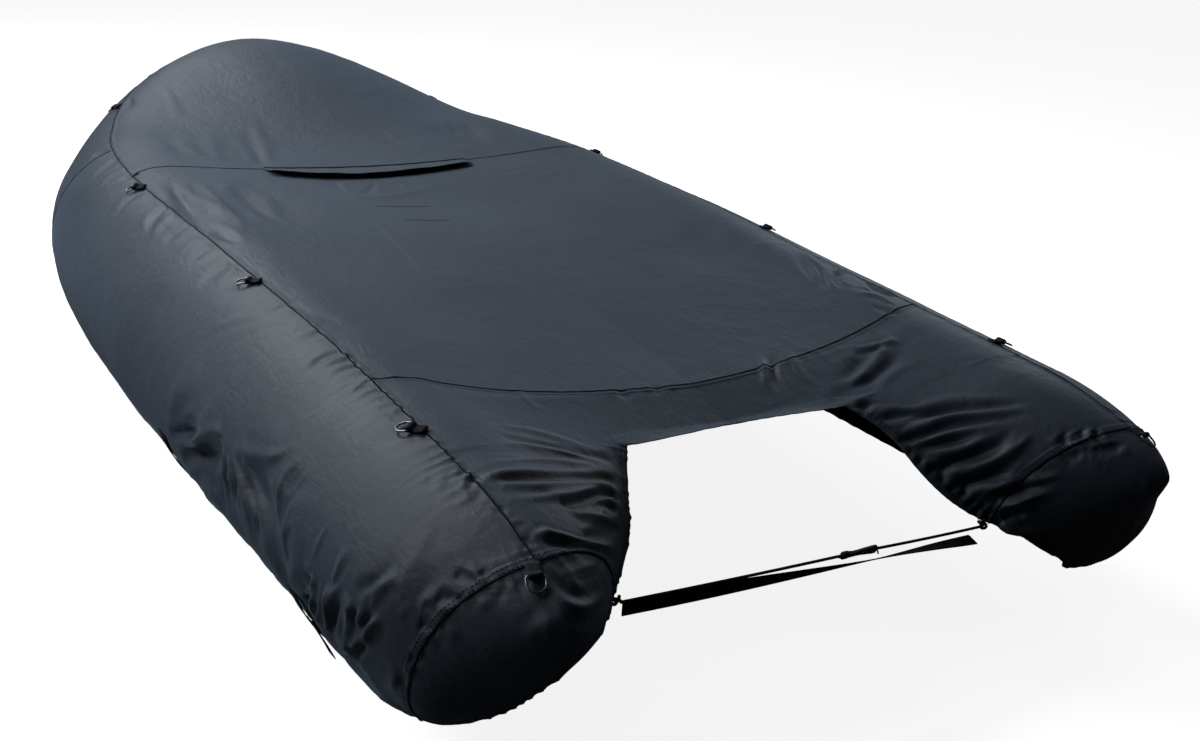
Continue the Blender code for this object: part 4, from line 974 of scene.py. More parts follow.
# Short folds along seams and hems. Columns: line, panels that have them, spacing, reach, depth, width and
# rise of the doubled cloth beside the line
GATHERS = (
    ("side_seam_port", ("panel_side_port", "panel_bow_side"), 0.030, 0.050, 0.0030, 0.0, 0.0),
    ("side_seam_starboard", ("panel_side_starboard", "panel_bow_side"), 0.033, 0.040, 0.0022, 0.0, 0.0),
    ("side_seam_port", DECKS, 0.045, 0.025, 0.0008, 0.009, 0.0007),
    ("side_seam_starboard", DECKS, 0.04, 0.03, 0.001, 0.009, 0.0007),
    ("cap_seam_port", ("panel_side_port", "panel_stern_deck"), 0.026, 0.022, 0.0016, 0.013, 0.0011),
    ("cap_seam_port", ("cap_port",), 0.024, 0.032, 0.0022, 0.0, 0.0),
    ("cap_seam_starboard", ("panel_side_starboard", "panel_stern_deck"), 0.022, 0.022, 0.0018, 0.013, 0.0011),
    ("cap_seam_starboard", ("cap_starboard",), 0.022, 0.035, 0.0026, 0.0, 0.0),
    ("front_seam", ("panel_mid_deck",), 0.055, 0.03, 0.0008, 0.010, 0.0008),
    ("front_seam", ("panel_bow_deck",), 0.05, 0.03, 0.0008, 0.0, 0.0),
    ("rear_seam", ("panel_stern_deck",), 0.045, 0.035, 0.001, 0.011, 0.0009),
    ("rear_seam", ("panel_mid_deck",), 0.05, 0.03, 0.0008, 0.0, 0.0),
    ("bow_seam_port", ("panel_side_port",), 0.035, 0.03, 0.0012, 0.010, 0.0008),
    ("bow_seam_starboard", ("panel_side_starboard",), 0.035, 0.03, 0.0012, 0.010, 0.0008),
    ("hem_port", ("panel_side_port",), 0.042, 0.085, 0.0046, 0.022, 0.0010),
    ("hem_port", ("panel_bow_side",), 0.050, 0.110, 0.0070, 0.022, 0.0010),
    ("hem_starboard", ("panel_side_starboard", "panel_bow_side"), 0.048, 0.110, 0.0070, 0.022, 0.0010),
    ("notch_hem", ("panel_stern_deck",), 0.040, 0.03, 0.0009, 0.030, 0.0010),
    ("leg_hem_port", ("panel_stern_deck",), 0.017, 0.030, 0.0042, 0.014, 0.0008),
    ("leg_hem_starboard", ("panel_stern_deck",), 0.016, 0.030, 0.0034, 0.014, 0.0008),
    ("cap_hem_port", ("cap_port",), 0.034, 0.045, 0.0045, 0.018, 0.0010),
    ("cap_hem_starboard", ("cap_starboard",), 0.034, 0.045, 0.0045, 0.018, 0.0010),
)
GATHER_STEP = 0.004
BAND_EDGE = 0.0025


def resampled(line, step):
    """A line with even steps, and the length reached at each of its points."""
    reached = np.concatenate([[0.0], np.cumsum(np.linalg.norm(np.diff(line, axis=0), axis=1))])
    places = np.linspace(0.0, reached[-1], max(2, int(reached[-1] / step) + 1))
    return np.stack([np.interp(places, reached, line[:, k]) for k in range(3)], -1), places


def gather(push, line, panels, spacing, reach, depth, band, rise):
    """Uneven short folds that run away from a line, and the doubled cloth beside it."""
    points, places = resampled(line, GATHER_STEP)
    finder = point_finder(points.tolist())
    limit = max(2.2 * reach, band + GATHER_STEP)
    mine = np.unique(np.concatenate([COVER.faces[name].ravel() for name in panels]))
    box_low, box_high = points.min(0) - limit, points.max(0) + limit
    mine = mine[((BASE[mine] > box_low) & (BASE[mine] < box_high)).all(1)]
    found = [finder.find(point)[1:] for point in BASE[mine].tolist()]
    t = places[[index for index, _ in found]]
    away = np.array([distance for _, distance in found])
    inside = away < limit
    mine, t, away = mine[inside], t[inside], away[inside]
    seed = 37.0 * spacing + 5.0 * points[0, 0] + 3.0 * points[-1, 1]
    phase = t / spacing + 0.8 * np.sin(t / (0.53 * spacing) / 3.1 + seed)
    phase = phase + 0.6 * np.sin(t / spacing * 0.71 + 2.0 * seed)
    wave = np.abs(np.sin(np.pi * phase)) ** 0.8 - 0.55
    uneven = 0.25 + 0.75 * (0.5 + 0.5 * np.sin(t / 0.11 + seed) * np.sin(t / 0.047 + 3.0 * seed))
    length = reach * (0.55 + 0.9 * (0.5 + 0.5 * np.sin(t / spacing * 1.9 + 5.0 * seed)))
    push[mine] += depth * uneven * wave * np.exp(-((away / length) ** 1.5))
    if band:
        push[mine] -= rise * smoothstep((band - away) / BAND_EDGE + 0.5)


def ridged(points, scale, seed):
    """Thin lines where smooth noise crosses zero, from 0 to 1."""
    offset = Vector((seed, 2.0 * seed, 0.0))
    values = np.array([noise.noise(Vector(point) * scale + offset) for point in points.tolist()])
    return np.clip(1.0 - np.abs(values) / 0.16, 0.0, 1.0) ** 1.5


# How strong the photograph's folds are made, by where they start. Columns: ranges of u and of v, and the
# strength of troughs and of ridges. The first row that fits counts.
STRENGTHS = (
    ((300, 1200), (-1, 176), 0.3, 0.3),
    ((150, 1200), (-1, 176), 0.5, 0.5),
    ((260, 1200), (-1, 200), 0.55, 0.55),
    ((830, 1200), (400, 741), 0.85, 0.85),
    ((380, 1200), (410, 741), 0.42, 0.6),
    ((310, 1200), (400, 741), 0.9, 0.9),
    ((-1, 1200), (400, 741), 1.15, 1.15),
    ((240, 400), (200, 741), 0.4, 0.4),
)


def strength(u, v, depth):
    for (left, right), (top, bottom), trough, ridge in STRENGTHS:
        if left < u < right and top < v < bottom:
            return trough if depth > 0.0 else ridge
    return 1.0


PACKING_CREASE = 0.0004
UNEVENNESS = 0.0022


def shape_cloth():
    """Fold the bare surface: each fold and gather pushes its points in along their normals."""
    normals = COVER.normals()
    push = np.zeros(len(BASE))
    for side, y1, a1, y2, a2, width, depth in SIDE_FOLDS:
        crease(push, along_roll(side, y1, a1, y2, a2), width, depth, 0)
    for x1, y1, x2, y2, width, depth in DECK_FOLDS:
        crease(push, along_deck(x1, y1, x2, y2), width, depth, 0)
    for pixels, width, depth, ends in PHOTO_FOLDS:
        crease(push, along_pixels(pixels), width, depth * strength(*pixels[:2], depth), ends)
    for name, *rest in GATHERS:
        gather(push, LINES[name], *rest)
    # creases from packing, and a soft unevenness all over
    stretched = BASE * np.array([1.0, 0.55, 1.0]) + 0.02 * np.sin(BASE[:, [1, 2, 0]] * 23.0)
    push -= PACKING_CREASE * ridged(stretched, 7.0, 3.1)
    soft = np.array([noise.noise(Vector(point) * 4.0) for point in BASE.tolist()])
    push += UNEVENNESS * soft
    COVER.points = BASE - normals * push[:, None]


shape_cloth()
NORMALS = COVER.normals()
TREE = COVER.tree()
SEWN = {name: COVER.points[ids] for name, ids in LINE_IDS.items()}  # the lines, once folded


# ---------------------------------------------------------------- making pieces


def new_mesh_object(name, points, faces, flat_from=None):
    """An object from working coordinates; faces from index flat_from on are shaded flat."""
    data = bpy.data.meshes.new(name)
    data.from_pydata((np.asarray(points) - np.array(ORIGIN)).tolist(), [], faces)
    data.update()
    smooth = np.ones(len(data.polygons), bool)
    if flat_from is not None:
        smooth[flat_from:] = False
    data.polygons.foreach_set("use_smooth", smooth)
    made = bpy.data.objects.new(name, data)
    bpy.context.scene.collection.objects.link(made)
    return made


def face_outward(made):
    """Turn all faces of a closed piece outward."""
    repair = bmesh.new()
    repair.from_mesh(made.data)
    bmesh.ops.recalc_face_normals(repair, faces=repair.faces)
    repair.to_mesh(made.data)
    repair.free()
    return made


def sheet_object(name, points, normals, faces):
    """A closed thin sheet from the faces of one panel, drawn in a little along its border."""
    used = np.unique(faces)
    local = np.full(len(points), -1)
    local[used] = np.arange(len(used))
    quads = local[faces]
    p, n = points[used].copy(), normals[used]
    edges = np.concatenate([quads[:, [0, 1]], quads[:, [1, 2]], quads[:, [2, 3]], quads[:, [3, 0]]])
    edges = edges[edges[:, 0] != edges[:, 1]]
    ordered = np.sort(edges, 1)
    _, first, count = np.unique(ordered, axis=0, return_index=True, return_counts=True)
    border = edges[first[count == 1]]
    inward = np.zeros_like(p)
    run = p[border[:, 1]] - p[border[:, 0]]
    for corner in range(2):
        way = np.cross(n[border[:, corner]], run)
        way /= np.maximum(np.linalg.norm(way, axis=1, keepdims=True), 1e-9)
        np.add.at(inward, border[:, corner], way)
    size = np.linalg.norm(inward, axis=1, keepdims=True)
    p += np.where(size > 0.1, inward / np.maximum(size, 0.1), 0.0) * SEAM_GAP
    low = p - n * CLOTH
    total = len(used)
    outer = [list(dict.fromkeys(face)) for face in quads.tolist()]
    inner = [[v + total for v in reversed(face)] for face in outer]
    rim = [[b, a, a + total, b + total] for a, b in border.tolist()]
    return new_mesh_object(name, np.concatenate([p, low]), outer + inner + rim, len(outer) * 2)


# ---------------------------------------------------------------- materials


# Colours, scales, heights in metres and other settings of the materials stand where they are used, as on a
# material's own sliders.


class Nodes:
    """A short way to build a material's nodes."""

    def __init__(self, name):
        self.material = bpy.data.materials.new(name)
        self.material.use_nodes = True
        self.tree = self.material.node_tree
        self.shader = self.tree.nodes["Principled BSDF"]

    def put(self, socket, value):
        """Link a socket to another node's output, or set its value."""
        if hasattr(value, "is_output"):
            self.tree.links.new(value, socket)
        else:
            socket.default_value = value

    def add(self, kind, inputs=(), **settings):
        node = self.tree.nodes.new(kind)
        for key, value in settings.items():
            setattr(node, key, value)
        for socket, value in dict(inputs).items():
            self.put(node.inputs[socket], value)
        return node

    def math(self, operation, a, b=0.0):
        return self.add("ShaderNodeMath", {0: a, 1: b}, operation=operation).outputs[0]

    def times(self, a, b):
        return self.math("MULTIPLY", a, b)

    def sine(self, value, pitch):
        """A wave of the given pitch, in metres."""
        return self.math("SINE", self.times(value, 2.0 * math.pi / pitch))

    def total(self, first, *others):
        for other in others:
            first = self.math("ADD", first, other)
        return first

    def noise(self, place, scale, detail=2.0, distortion=0.0):
        settings = {"Vector": place, "Scale": scale, "Detail": detail, "Distortion": distortion}
        return self.add("ShaderNodeTexNoise", settings).outputs["Fac"]

    def ramp(self, value, low, high, to_low=0.0, to_high=1.0):
        inputs = {"Value": value, "From Min": low, "From Max": high, "To Min": to_low, "To Max": to_high}
        return self.add("ShaderNodeMapRange", inputs).outputs["Result"]

    def mix(self, value, first, second):
        node = self.add("ShaderNodeMix", data_type="RGBA")
        for socket, given in ((0, value), (6, first), (7, second)):
            self.put(node.inputs[socket], (*given, 1.0) if isinstance(given, tuple) else given)
        return node.outputs[2]

    def bump(self, height):
        inputs = {"Height": height, "Strength": 1.0, "Distance": 1.0}
        return self.add("ShaderNodeBump", inputs).outputs["Normal"]

    def place(self, kind="Object"):
        return self.add("ShaderNodeTexCoord").outputs[kind]

    def axes(self, place):
        return self.add("ShaderNodeSeparateXYZ", {"Vector": place}).outputs

    def set(self, **values):
        for name, value in values.items():
            self.put(self.shader.inputs[name.replace("_", " ")], value)


def weave(nodes, place, pitch, height):
    """The over and under of a plain weave, as a height in metres."""
    x, y, z = (nodes.sine(axis, pitch) for axis in nodes.axes(place))
    return nodes.times(nodes.total(nodes.times(x, y), nodes.times(y, z), nodes.times(x, z)), height)


def cloth_material():
    """Coated woven cloth, with painted highlight on the ridges of its folds and painted shade in its creases.
    """
    nodes = Nodes("coated_cloth")
    place = nodes.place()
    grain = nodes.noise(place, 700.0, 2.0)
    patches = nodes.noise(place, 3.2, 4.0, 0.4)
    dust = nodes.noise(place, 46.0, 5.0, 0.8)
    base = nodes.mix(nodes.ramp(patches, 0.35, 0.65), (0.025, 0.036, 0.053), (0.034, 0.048, 0.069))
    base = nodes.mix(nodes.ramp(grain, 0.3, 0.7, 0.0, 0.55), base, (0.048, 0.063, 0.086))
    base = nodes.mix(nodes.ramp(dust, 0.56, 0.80, 0.0, 0.22), base, (0.090, 0.102, 0.118))
    # Painted light from the surface's curvature: lighter on ridges, darker in creases
    edge = nodes.add("ShaderNodeNewGeometry").outputs["Pointiness"]
    # painted highlight: a lighter colour on the ridges of folds
    base = nodes.mix(nodes.ramp(edge, 0.515, 0.60, 0.0, 0.45), base, (0.095, 0.108, 0.126))
    # painted shade: a darker colour down in the creases
    base = nodes.mix(nodes.ramp(edge, 0.485, 0.42, 0.0, 0.5), base, (0.016, 0.021, 0.029))
    cells = {"Vector": place, "Scale": 7.0, "Randomness": 1.0}
    cells = nodes.add("ShaderNodeTexVoronoi", cells, feature="DISTANCE_TO_EDGE").outputs["Distance"]
    drawn = nodes.add("ShaderNodeVectorMath", {0: place, 1: (1.0, 0.3, 1.0)}, operation="MULTIPLY").outputs[0]
    height = nodes.total(
        nodes.ramp(cells, 0.0, 0.02, 0.00012, 0.0),
        nodes.times(nodes.noise(place, 22.0, 6.0, 0.2), 0.0022),
        nodes.times(nodes.noise(drawn, 48.0, 4.0, 1.6), 0.0011),
        nodes.times(grain, 0.00024),
        weave(nodes, place, 0.0014, 0.00003),
    )
    nodes.set(
        Base_Color=base,
        Roughness=nodes.ramp(patches, 0.3, 0.7, 0.46, 0.58),
        Normal=nodes.bump(height),
        Specular_IOR_Level=0.5,
        Sheen_Weight=0.3,
        Sheen_Roughness=0.45,
        Sheen_Tint=(0.60, 0.76, 1.0, 1.0),
    )
    return nodes.material


def webbing_material(name, dark, light):
    """Ribbed webbing: its UV map runs across (u) and along (v), in metres."""
    nodes = Nodes(name)
    across, along, _ = nodes.axes(nodes.place("UV"))
    cross = nodes.times(nodes.sine(across, 0.0021), nodes.sine(along, 0.0026))
    fuzz = nodes.noise(nodes.place(), 900.0, 2.0)
    base = nodes.mix(nodes.ramp(cross, -1.0, 1.0), dark, light)
    base = nodes.mix(nodes.ramp(fuzz, 0.3, 0.8, 0.0, 0.4), base, tuple(1.5 * value for value in light))
    height = nodes.total(nodes.times(cross, 0.00016), nodes.times(fuzz, 0.0002))
    nodes.set(Base_Color=base, Roughness=0.78, Normal=nodes.bump(height), Specular_IOR_Level=0.2)
    return nodes.material


def metal_material():
    nodes = Nodes("ring_metal")
    worn = nodes.noise(nodes.place(), 120.0, 4.0, 0.3)
    nodes.set(
        Base_Color=nodes.mix(nodes.ramp(worn, 0.42, 0.62), (0.20, 0.215, 0.235), (0.42, 0.44, 0.46)),
        Metallic=0.9,
        Roughness=nodes.ramp(worn, 0.3, 0.7, 0.24, 0.42),
        Normal=nodes.bump(nodes.times(worn, 0.0002)),
    )
    return nodes.material


def cord_material():
    """Braided sleeve of the elastic cord."""
    nodes = Nodes("elastic_cord")
    x, _, z = nodes.axes(nodes.place())
    turns = (nodes.times(nodes.math(operation, x, z), 3600.0) for operation in ("ADD", "SUBTRACT"))
    braid = nodes.times(*(nodes.math("SINE", turn) for turn in turns))
    base = nodes.mix(nodes.ramp(braid, -0.6, 0.9), (0.009, 0.010, 0.013), (0.040, 0.044, 0.052))
    nodes.set(Base_Color=base, Roughness=0.7, Normal=nodes.bump(nodes.times(braid, 0.00022)))
    return nodes.material


def plastic_material():
    nodes = Nodes("moulded_hook")
    place = nodes.place()
    rough = nodes.noise(place, 420.0, 3.0)
    worn = nodes.noise(place, 60.0, 3.0, 0.5)
    base = nodes.mix(nodes.ramp(worn, 0.40, 0.62), (0.030, 0.033, 0.038), (0.085, 0.092, 0.10))
    nodes.set(Base_Color=base, Roughness=0.42, Normal=nodes.bump(nodes.times(rough, 0.0003)))
    return nodes.material


def thread_material():
    nodes = Nodes("thread")
    twist = nodes.noise(nodes.place(), 1500.0, 2.0)
    base = nodes.mix(nodes.ramp(twist, 0.3, 0.7), (0.005, 0.006, 0.008), (0.018, 0.021, 0.026))
    height = nodes.times(twist, 0.0002)
    nodes.set(Base_Color=base, Roughness=0.9, Specular_IOR_Level=0.15, Normal=nodes.bump(height))
    return nodes.material


SLATE = cloth_material()
WEBBING = webbing_material("webbing", (0.007, 0.008, 0.010), (0.022, 0.025, 0.030))
LOOP_WEBBING = webbing_material("loop_webbing", (0.020, 0.024, 0.030), (0.046, 0.054, 0.064))
STRAP_WEBBING = webbing_material("strap_webbing", (0.006, 0.007, 0.009), (0.020, 0.022, 0.027))
METAL = metal_material()
ELASTIC = cord_material()
PLASTIC = plastic_material()
THREAD = thread_material()


def finished(made, surface, slot, *nodes):
    """Gives a piece its material and body, and hides the CAD nodes it stands for. The slot is not used."""
    made.data.materials.append(surface)
    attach(made, "root")
    if nodes:
        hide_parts(*nodes)
    return made


# ---------------------------------------------------------------- panels


def add_panels():
    for panel, faces in COVER.faces.items():
        made = sheet_object(f"cloth_{panel}", COVER.points, NORMALS, faces)
        finished(made, SLATE, "cover_cloth", panel)


add_panels()


# ---------------------------------------------------------------- stitches and the edges of seams


def ribbon_object(name, points, across, width, thick=0.002, columns_across=6):
    """A band of webbing along a path, with rounded edges and a UV map in metres."""
    points = [Vector(point) for point in points]
    ends = [points[0]] + points + [points[-1]]
    runs = [(after - before).normalized() for before, after in zip(ends, ends[2:])]
    places = (-1.0 + 2.0 * k / columns_across for k in range(columns_across + 1))
    section = [(wide, 1.0 if abs(wide) < 0.99 else 0.45) for wide in places]
    section += [(wide, -up) for wide, up in reversed(section)]
    verts, uvs, reached = [], [], 0.0
    for index, (point, run, way) in enumerate(zip(points, runs, across)):
        if index:
            reached += (point - points[index - 1]).length
        way = Vector(way)
        flat = (way - run * way.dot(run)).normalized() * width / 2.0
        up = run.cross(flat).normalized() * thick / 2.0
        for wide, high in section:
            verts.append(tuple(point + flat * wide + up * high))
            uvs.append((wide * width / 2.0, reached))
    n, faces = len(section), []
    for k in range(len(points) - 1):
        for m in range(n):
            a, b = k * n + m, k * n + (m + 1) % n
            faces.append([a, b, b + n, a + n])
    faces += [list(range(n))[::-1], [len(verts) - n + m for m in range(n)]]
    made = new_mesh_object(name, verts, faces)
    layer = made.data.uv_layers.new(name="UVMap")
    for loop in made.data.loops:
        layer.data[loop.index].uv = uvs[loop.vertex_index]
    return face_outward(made)


# A stitch in half lengths along, half widths across and heights, and its faces
STITCH = (
    *((-1, 0, 0), (-0.6, -1, 0.3), (-0.6, 1, 0.3), (0.6, -1, 0.3)),
    *((0.6, 1, 0.3), (1, 0, 0), (-0.45, 0, 1), (0.45, 0, 1)),
)
STITCH_FACES = ((0, 1, 6), (0, 6, 2), (1, 3, 7, 6), (2, 6, 7, 4), (3, 5, 7), (4, 7, 5))
STITCH_SIZE = (0.0046, 0.0013, 0.0006)  # length, width, height
STITCH_SUNK = 0.0002


def stitch_rows(name, rows, size=STITCH_SIZE):
    """Small raised stitches on the cloth. A row is a line, a distance beside it, a side way and a pitch."""
    long, wide, high = size
    points, faces = [], []
    for line, aside, towards, pitch in rows:
        spots = resampled(line, pitch)[0]
        runs = np.gradient(spots, axis=0)
        for spot, run in zip(spots[1:-1], runs[1:-1]):
            run = Vector(run).normalized()
            way = run.cross(TREE.find_nearest(Vector(spot))[1])
            if way.dot(Vector(towards(spot) if callable(towards) else towards)) < 0.0:
                way = -way
            near, out, _, _ = TREE.find_nearest(Vector(spot) + way * aside)
            run = (run - out * run.dot(out)).normalized()
            way = run.cross(out)
            base = near - out * STITCH_SUNK
            first = len(points)
            for along, across, up in STITCH:
                point = base + run * (along * long / 2.0) + way * (across * wide / 2.0)
                points.append(tuple(point + out * (STITCH_SUNK + up * high)))
            faces += [[first + k for k in face] for face in STITCH_FACES]
    finished(new_mesh_object(name, points, faces), THREAD, "cover_cloth")


def towards_deck(spot):
    """The way inboard from a place on a side seam."""
    return (-spot[0], 0.3 * (1.6 - spot[1]), 0.2)


TO_BOW = (0.0, 1.0, 0.0)
TO_STERN = (0.0, -1.0, 0.0)
UP = (0.0, 0.0, 1.0)
UP_AND_BACK = (0.0, -0.5, 1.0)
PITCH = 0.0066
LONG_PITCH = 0.0068
CAP_SEAM_ROWS = (0.0035, 0.0105)


def sewn_rows(start, trim, aside, towards, pitch):
    """A row of stitches beside the port line of a name and one beside the starboard line."""
    return [(SEWN[f"{start}_{word}"][trim], aside, towards, pitch) for _, word in SIDES]


ALL = slice(None)
INSIDE = slice(2, -2)
stitch_rows(
    "stitches_seams",
    [
        *((SEWN["cap_seam_port"], aside, TO_BOW, PITCH) for aside in CAP_SEAM_ROWS),
        *((SEWN["cap_seam_starboard"], aside, TO_BOW, PITCH) for aside in CAP_SEAM_ROWS),
        (SEWN["rear_seam"], 0.0035, TO_STERN, PITCH),
        (SEWN["front_seam"], 0.0035, TO_STERN, PITCH),
        *sewn_rows("side_seam", ALL, 0.0040, towards_deck, LONG_PITCH),
        *sewn_rows("bow_seam", slice(4, -2), 0.0040, TO_STERN, LONG_PITCH),
    ],
)
stitch_rows(
    "stitches_hems",
    [
        *sewn_rows("hem", ALL, 0.020, UP, LONG_PITCH),
        (SEWN["notch_hem"], 0.028, TO_BOW, PITCH),
        (SEWN["leg_hem_port"][INSIDE], 0.013, (-1.0, 0.0, 0.2), PITCH),
        (SEWN["leg_hem_starboard"][INSIDE], 0.013, (1.0, 0.0, 0.2), PITCH),
        *sewn_rows("cap_hem", INSIDE, 0.016, UP_AND_BACK, PITCH),
    ],
)

# Dark strips along the seams, painted shade where the seams' folded edges throw shadow, with their widths
SEAM_SHADE_STRIPS = {
    "cap_seam_port": 0.0030,
    "cap_seam_starboard": 0.0030,
    "rear_seam": 0.0030,
    "front_seam": 0.0050,
    "side_seam_port": 0.0024,
    "side_seam_starboard": 0.0026,
    "bow_seam_port": 0.0026,
    "bow_seam_starboard": 0.0026,
}
SHADE_STRIP_LIFT = 0.0005
SHADE_STRIP_THICK = 0.0007


def seam_shade_strips():
    for key, width in SEAM_SHADE_STRIPS.items():
        spots, ways = SEWN[key], NORMALS[LINE_IDS[key]]
        runs = np.gradient(spots, axis=0)
        across = [Vector(run).normalized().cross(Vector(way)) for run, way in zip(runs, ways)]
        # each strip is painted shade: a dark band over the seam, in the thread's dark colour
        made = ribbon_object(f"seam_shade_{key}", spots + ways * SHADE_STRIP_LIFT, across, width, SHADE_STRIP_THICK, 2)
        finished(made, THREAD, "cover_cloth")


seam_shade_strips()
# Two short rows behind the hood
PATCH_ROWS = ((-0.147, 1.578, -0.014, 1.561), (-0.136, 1.452, -0.019, 1.435))
PATCH_STITCHES = [(along_deck(*row), 0.0, TO_BOW, 0.0070) for row in PATCH_ROWS]
stitch_rows("stitches_deck", PATCH_STITCHES, (0.0062, 0.0046, 0.0010))


# ---------------------------------------------------------------- hood over the vent

VENT_X = (-0.298, 0.25)
VENT_DEPTH = (0.06, 0.045)  # at the ends, and more by this much near the middle
VENT_SKEW = 0.8
VENT_OVERLAP = 0.006
VENT_RISE = 0.0105
VENT_EDGE = 0.05  # share of the width over which the mouth closes at its ends
VENT_OPEN = 0.035  # the port end stands open by this share of the width
VENT_STEPS = 110
VENT_ROWS = 24
VENT_HEM_ROWS = 7
VENT_LIP = 0.0012  # of the doubled hem
VENT_LIFT = 0.0028
VENT_WAVE = 0.0014
VENT_TUCK = 0.0011


def drop_on(x, y):
    """Point of the cloth straight under a plan point."""
    return TREE.ray_cast(Vector((x, y, 1.0)), Vector((0.0, 0.0, -1.0)))[0]


def hood_point(share, depth, lip):
    """A point of the hood, by its share of the width and its depth from the seam."""
    x = mix(VENT_X[0], VENT_X[1], share)
    seam = FRONT_SEAM_Y + FRONT_SEAM_BOW * (1.0 - (x / float(SEAM[FRONT_ROW, 0])) ** 2)
    reach = VENT_DEPTH[0] + VENT_DEPTH[1] * math.sin(math.pi * share**VENT_SKEW)
    y = seam + VENT_OVERLAP - reach * depth
    closing = min(1.0, min(share + VENT_OPEN, 1.0 - share) / VENT_EDGE) ** 0.5
    rise = VENT_RISE * depth**1.15 * closing
    wave = VENT_WAVE * math.sin(23.0 * share + 2.0) * math.sin(9.0 * share + 5.0 * depth) * depth
    tuck = VENT_TUCK * math.sin(61.0 * share + 4.0 * math.sin(7.0 * share)) * (1.0 - depth) * depth * 3.0
    uneven = (wave + tuck) * min(1.0, 8.0 * min(share, 1.0 - share))
    return x, y, drop_on(x, y).z + VENT_LIFT + rise + uneven + lip


def hood():
    """The hood as a sheet, and its grid of points from the aft hem to the seam."""
    rows = []
    for row in range(VENT_ROWS + 1):
        lip = VENT_LIP if row >= VENT_ROWS - VENT_HEM_ROWS else 0.0
        shares = (step / VENT_STEPS for step in range(VENT_STEPS + 1))
        rows.append([hood_point(share, row / VENT_ROWS, lip) for share in shares])
    grid = np.array(rows[::-1])
    flat = grid.reshape(-1, 3)
    ids = np.arange(len(flat)).reshape(grid.shape[:2])
    faces = np.stack([ids[:-1, :-1], ids[:-1, 1:], ids[1:, 1:], ids[1:, :-1]], -1).reshape(-1, 4)
    normals = np.cross(np.gradient(grid, axis=1), np.gradient(grid, axis=0)).reshape(-1, 3)
    normals /= np.linalg.norm(normals, axis=1, keepdims=True)
    return sheet_object("cloth_vent_hood", flat, normals, faces), grid


HOOD, HOOD_GRID = hood()
finished(HOOD, SLATE, "cover_cloth", "vent_hood")
HOOD_STITCH = ((-1, 0, 0), (-0.5, -1, 0.4), (-0.5, 1, 0.4), (0.5, -1, 0.4), (0.5, 1, 0.4), (1, 0, 0))
HOOD_STITCH_SIZE = (0.0017, 0.00045, 0.0004)  # half length, half width, height
HOOD_STITCH_LIFT = 0.0003
# the dark strip of painted shade along the hood's front seam
HOOD_SEAM_SHADE = (0.0012, 0.0055, 0.0010)  # lift, width, thickness


def hood_stitches():
    """A row along the hood's aft hem and one along its front."""
    half_length, half_width, high = HOOD_STITCH_SIZE
    points, faces = [], []
    for row, pitch in ((VENT_HEM_ROWS - 1, PITCH), (VENT_ROWS - 2, 0.0052)):
        line = resampled(HOOD_GRID[row], pitch)[0]
        runs = np.gradient(line, axis=0)
        for spot, run in zip(line[1:-1], runs[1:-1]):
            run = Vector(run).normalized()
            way = run.cross(Vector(UP)).normalized()
            first = len(points)
            for along, across, up in HOOD_STITCH:
                point = Vector(spot) + run * along * half_length + way * across * half_width
                points.append(tuple(point + Vector((0, 0, HOOD_STITCH_LIFT + up * high))))
            faces += [[first + k for k in face] for face in ((0, 1, 2), (1, 3, 4, 2), (3, 5, 4))]
    finished(new_mesh_object("stitches_hood", points, faces), THREAD, "cover_cloth")


def hood_seam_shade():
    """A dark strip of painted shade along the seam that holds the hood's front."""
    lift, width, thick = HOOD_SEAM_SHADE
    line = HOOD_GRID[VENT_ROWS - 1] + np.array([0.0, 0.0, lift])
    across = [Vector((0.0, 1.0, 0.1))] * len(line)
    finished(ribbon_object("seam_shade_vent_front", line, across, width, thick, 2), THREAD, "cover_cloth")


hood_stitches()
hood_seam_shade()


# ---------------------------------------------------------------- webbing, rings, cord and strap

WEB_WIDTH = 0.02
WEB_THICK = 0.002
LOOP_LENGTH = 0.024
LOOP_EYE = 0.004
LOOP_THROAT = 0.008
LOOP_GAP = 0.0004
RING_WIRE = 0.0017
RING_HALF_WIDTH = 0.0127
RING_DEPTH = 0.024
RING_CLEAR = 0.003
RING_CORNER = 0.0035
SEAT_GAP = 0.0006
SEAT_LIFT = 0.006  # the most that a loop is lifted over folds
# Columns: side, number, place along the cover (or angle, on a cap), turn on the cloth
SIDE_LOOPS = (
    (-1.0, 1, 2.56, -30.0),
    (-1.0, 2, 1.76, -40.0),
    (-1.0, 3, 1.04, -40.0),
    (-1.0, 4, 0.345, -52.0),
    (1.0, 1, 2.56, 25.0),
    (1.0, 2, 1.88, 25.0),
    (1.0, 3, 1.08, 15.0),
    (1.0, 4, 0.34, -10.0),
)
CAP_LOOPS = ((-1.0, 5, 78.0, -20.0), (1.0, 5, 80.0, 10.0))
LOWER_ANGLE = 8.0  # steps that give a loop's way down, on a round side and on a cap
LOWER_ALONG = 0.03
# Tabs by number: width, distances off the bare surface, and places along the cover with angles
TAB_TURN = (-15.0, -26.0, -38.0, -48.0, -58.0)
BROAD_TAB = (0.045, (0.0026, 0.003, 0.003, 0.003, 0.004))
TABS = {
    1: (*BROAD_TAB, [(1.085, angle) for angle in TAB_TURN]),
    2: (*BROAD_TAB, [(0.425, angle) for angle in TAB_TURN]),
    3: (0.025, (0.003, 0.004, 0.006, 0.009), [(0.395, -27), (0.370, -29), (0.345, -31), (0.318, -32)]),
}
TAB_STEPS = 22
TAB_FREE_ANGLE = -47.0  # below it a tab hangs free of the cloth
TAB_GAP = 0.0016
CORD_END = {-1.0: Vector((-0.378, 0.100, 0.2350)), 1.0: Vector((0.368, 0.100, 0.2060))}
CORD_RADIUS = 0.0025
CORD_STEPS = 34
CORD_SAG = 0.001
HOOK_X = 0.082
HOOK_LENGTH = 0.084
HOOK_GAP = 0.0004
STRAP_WIDTH = 0.025
STRAP_STEPS = 74
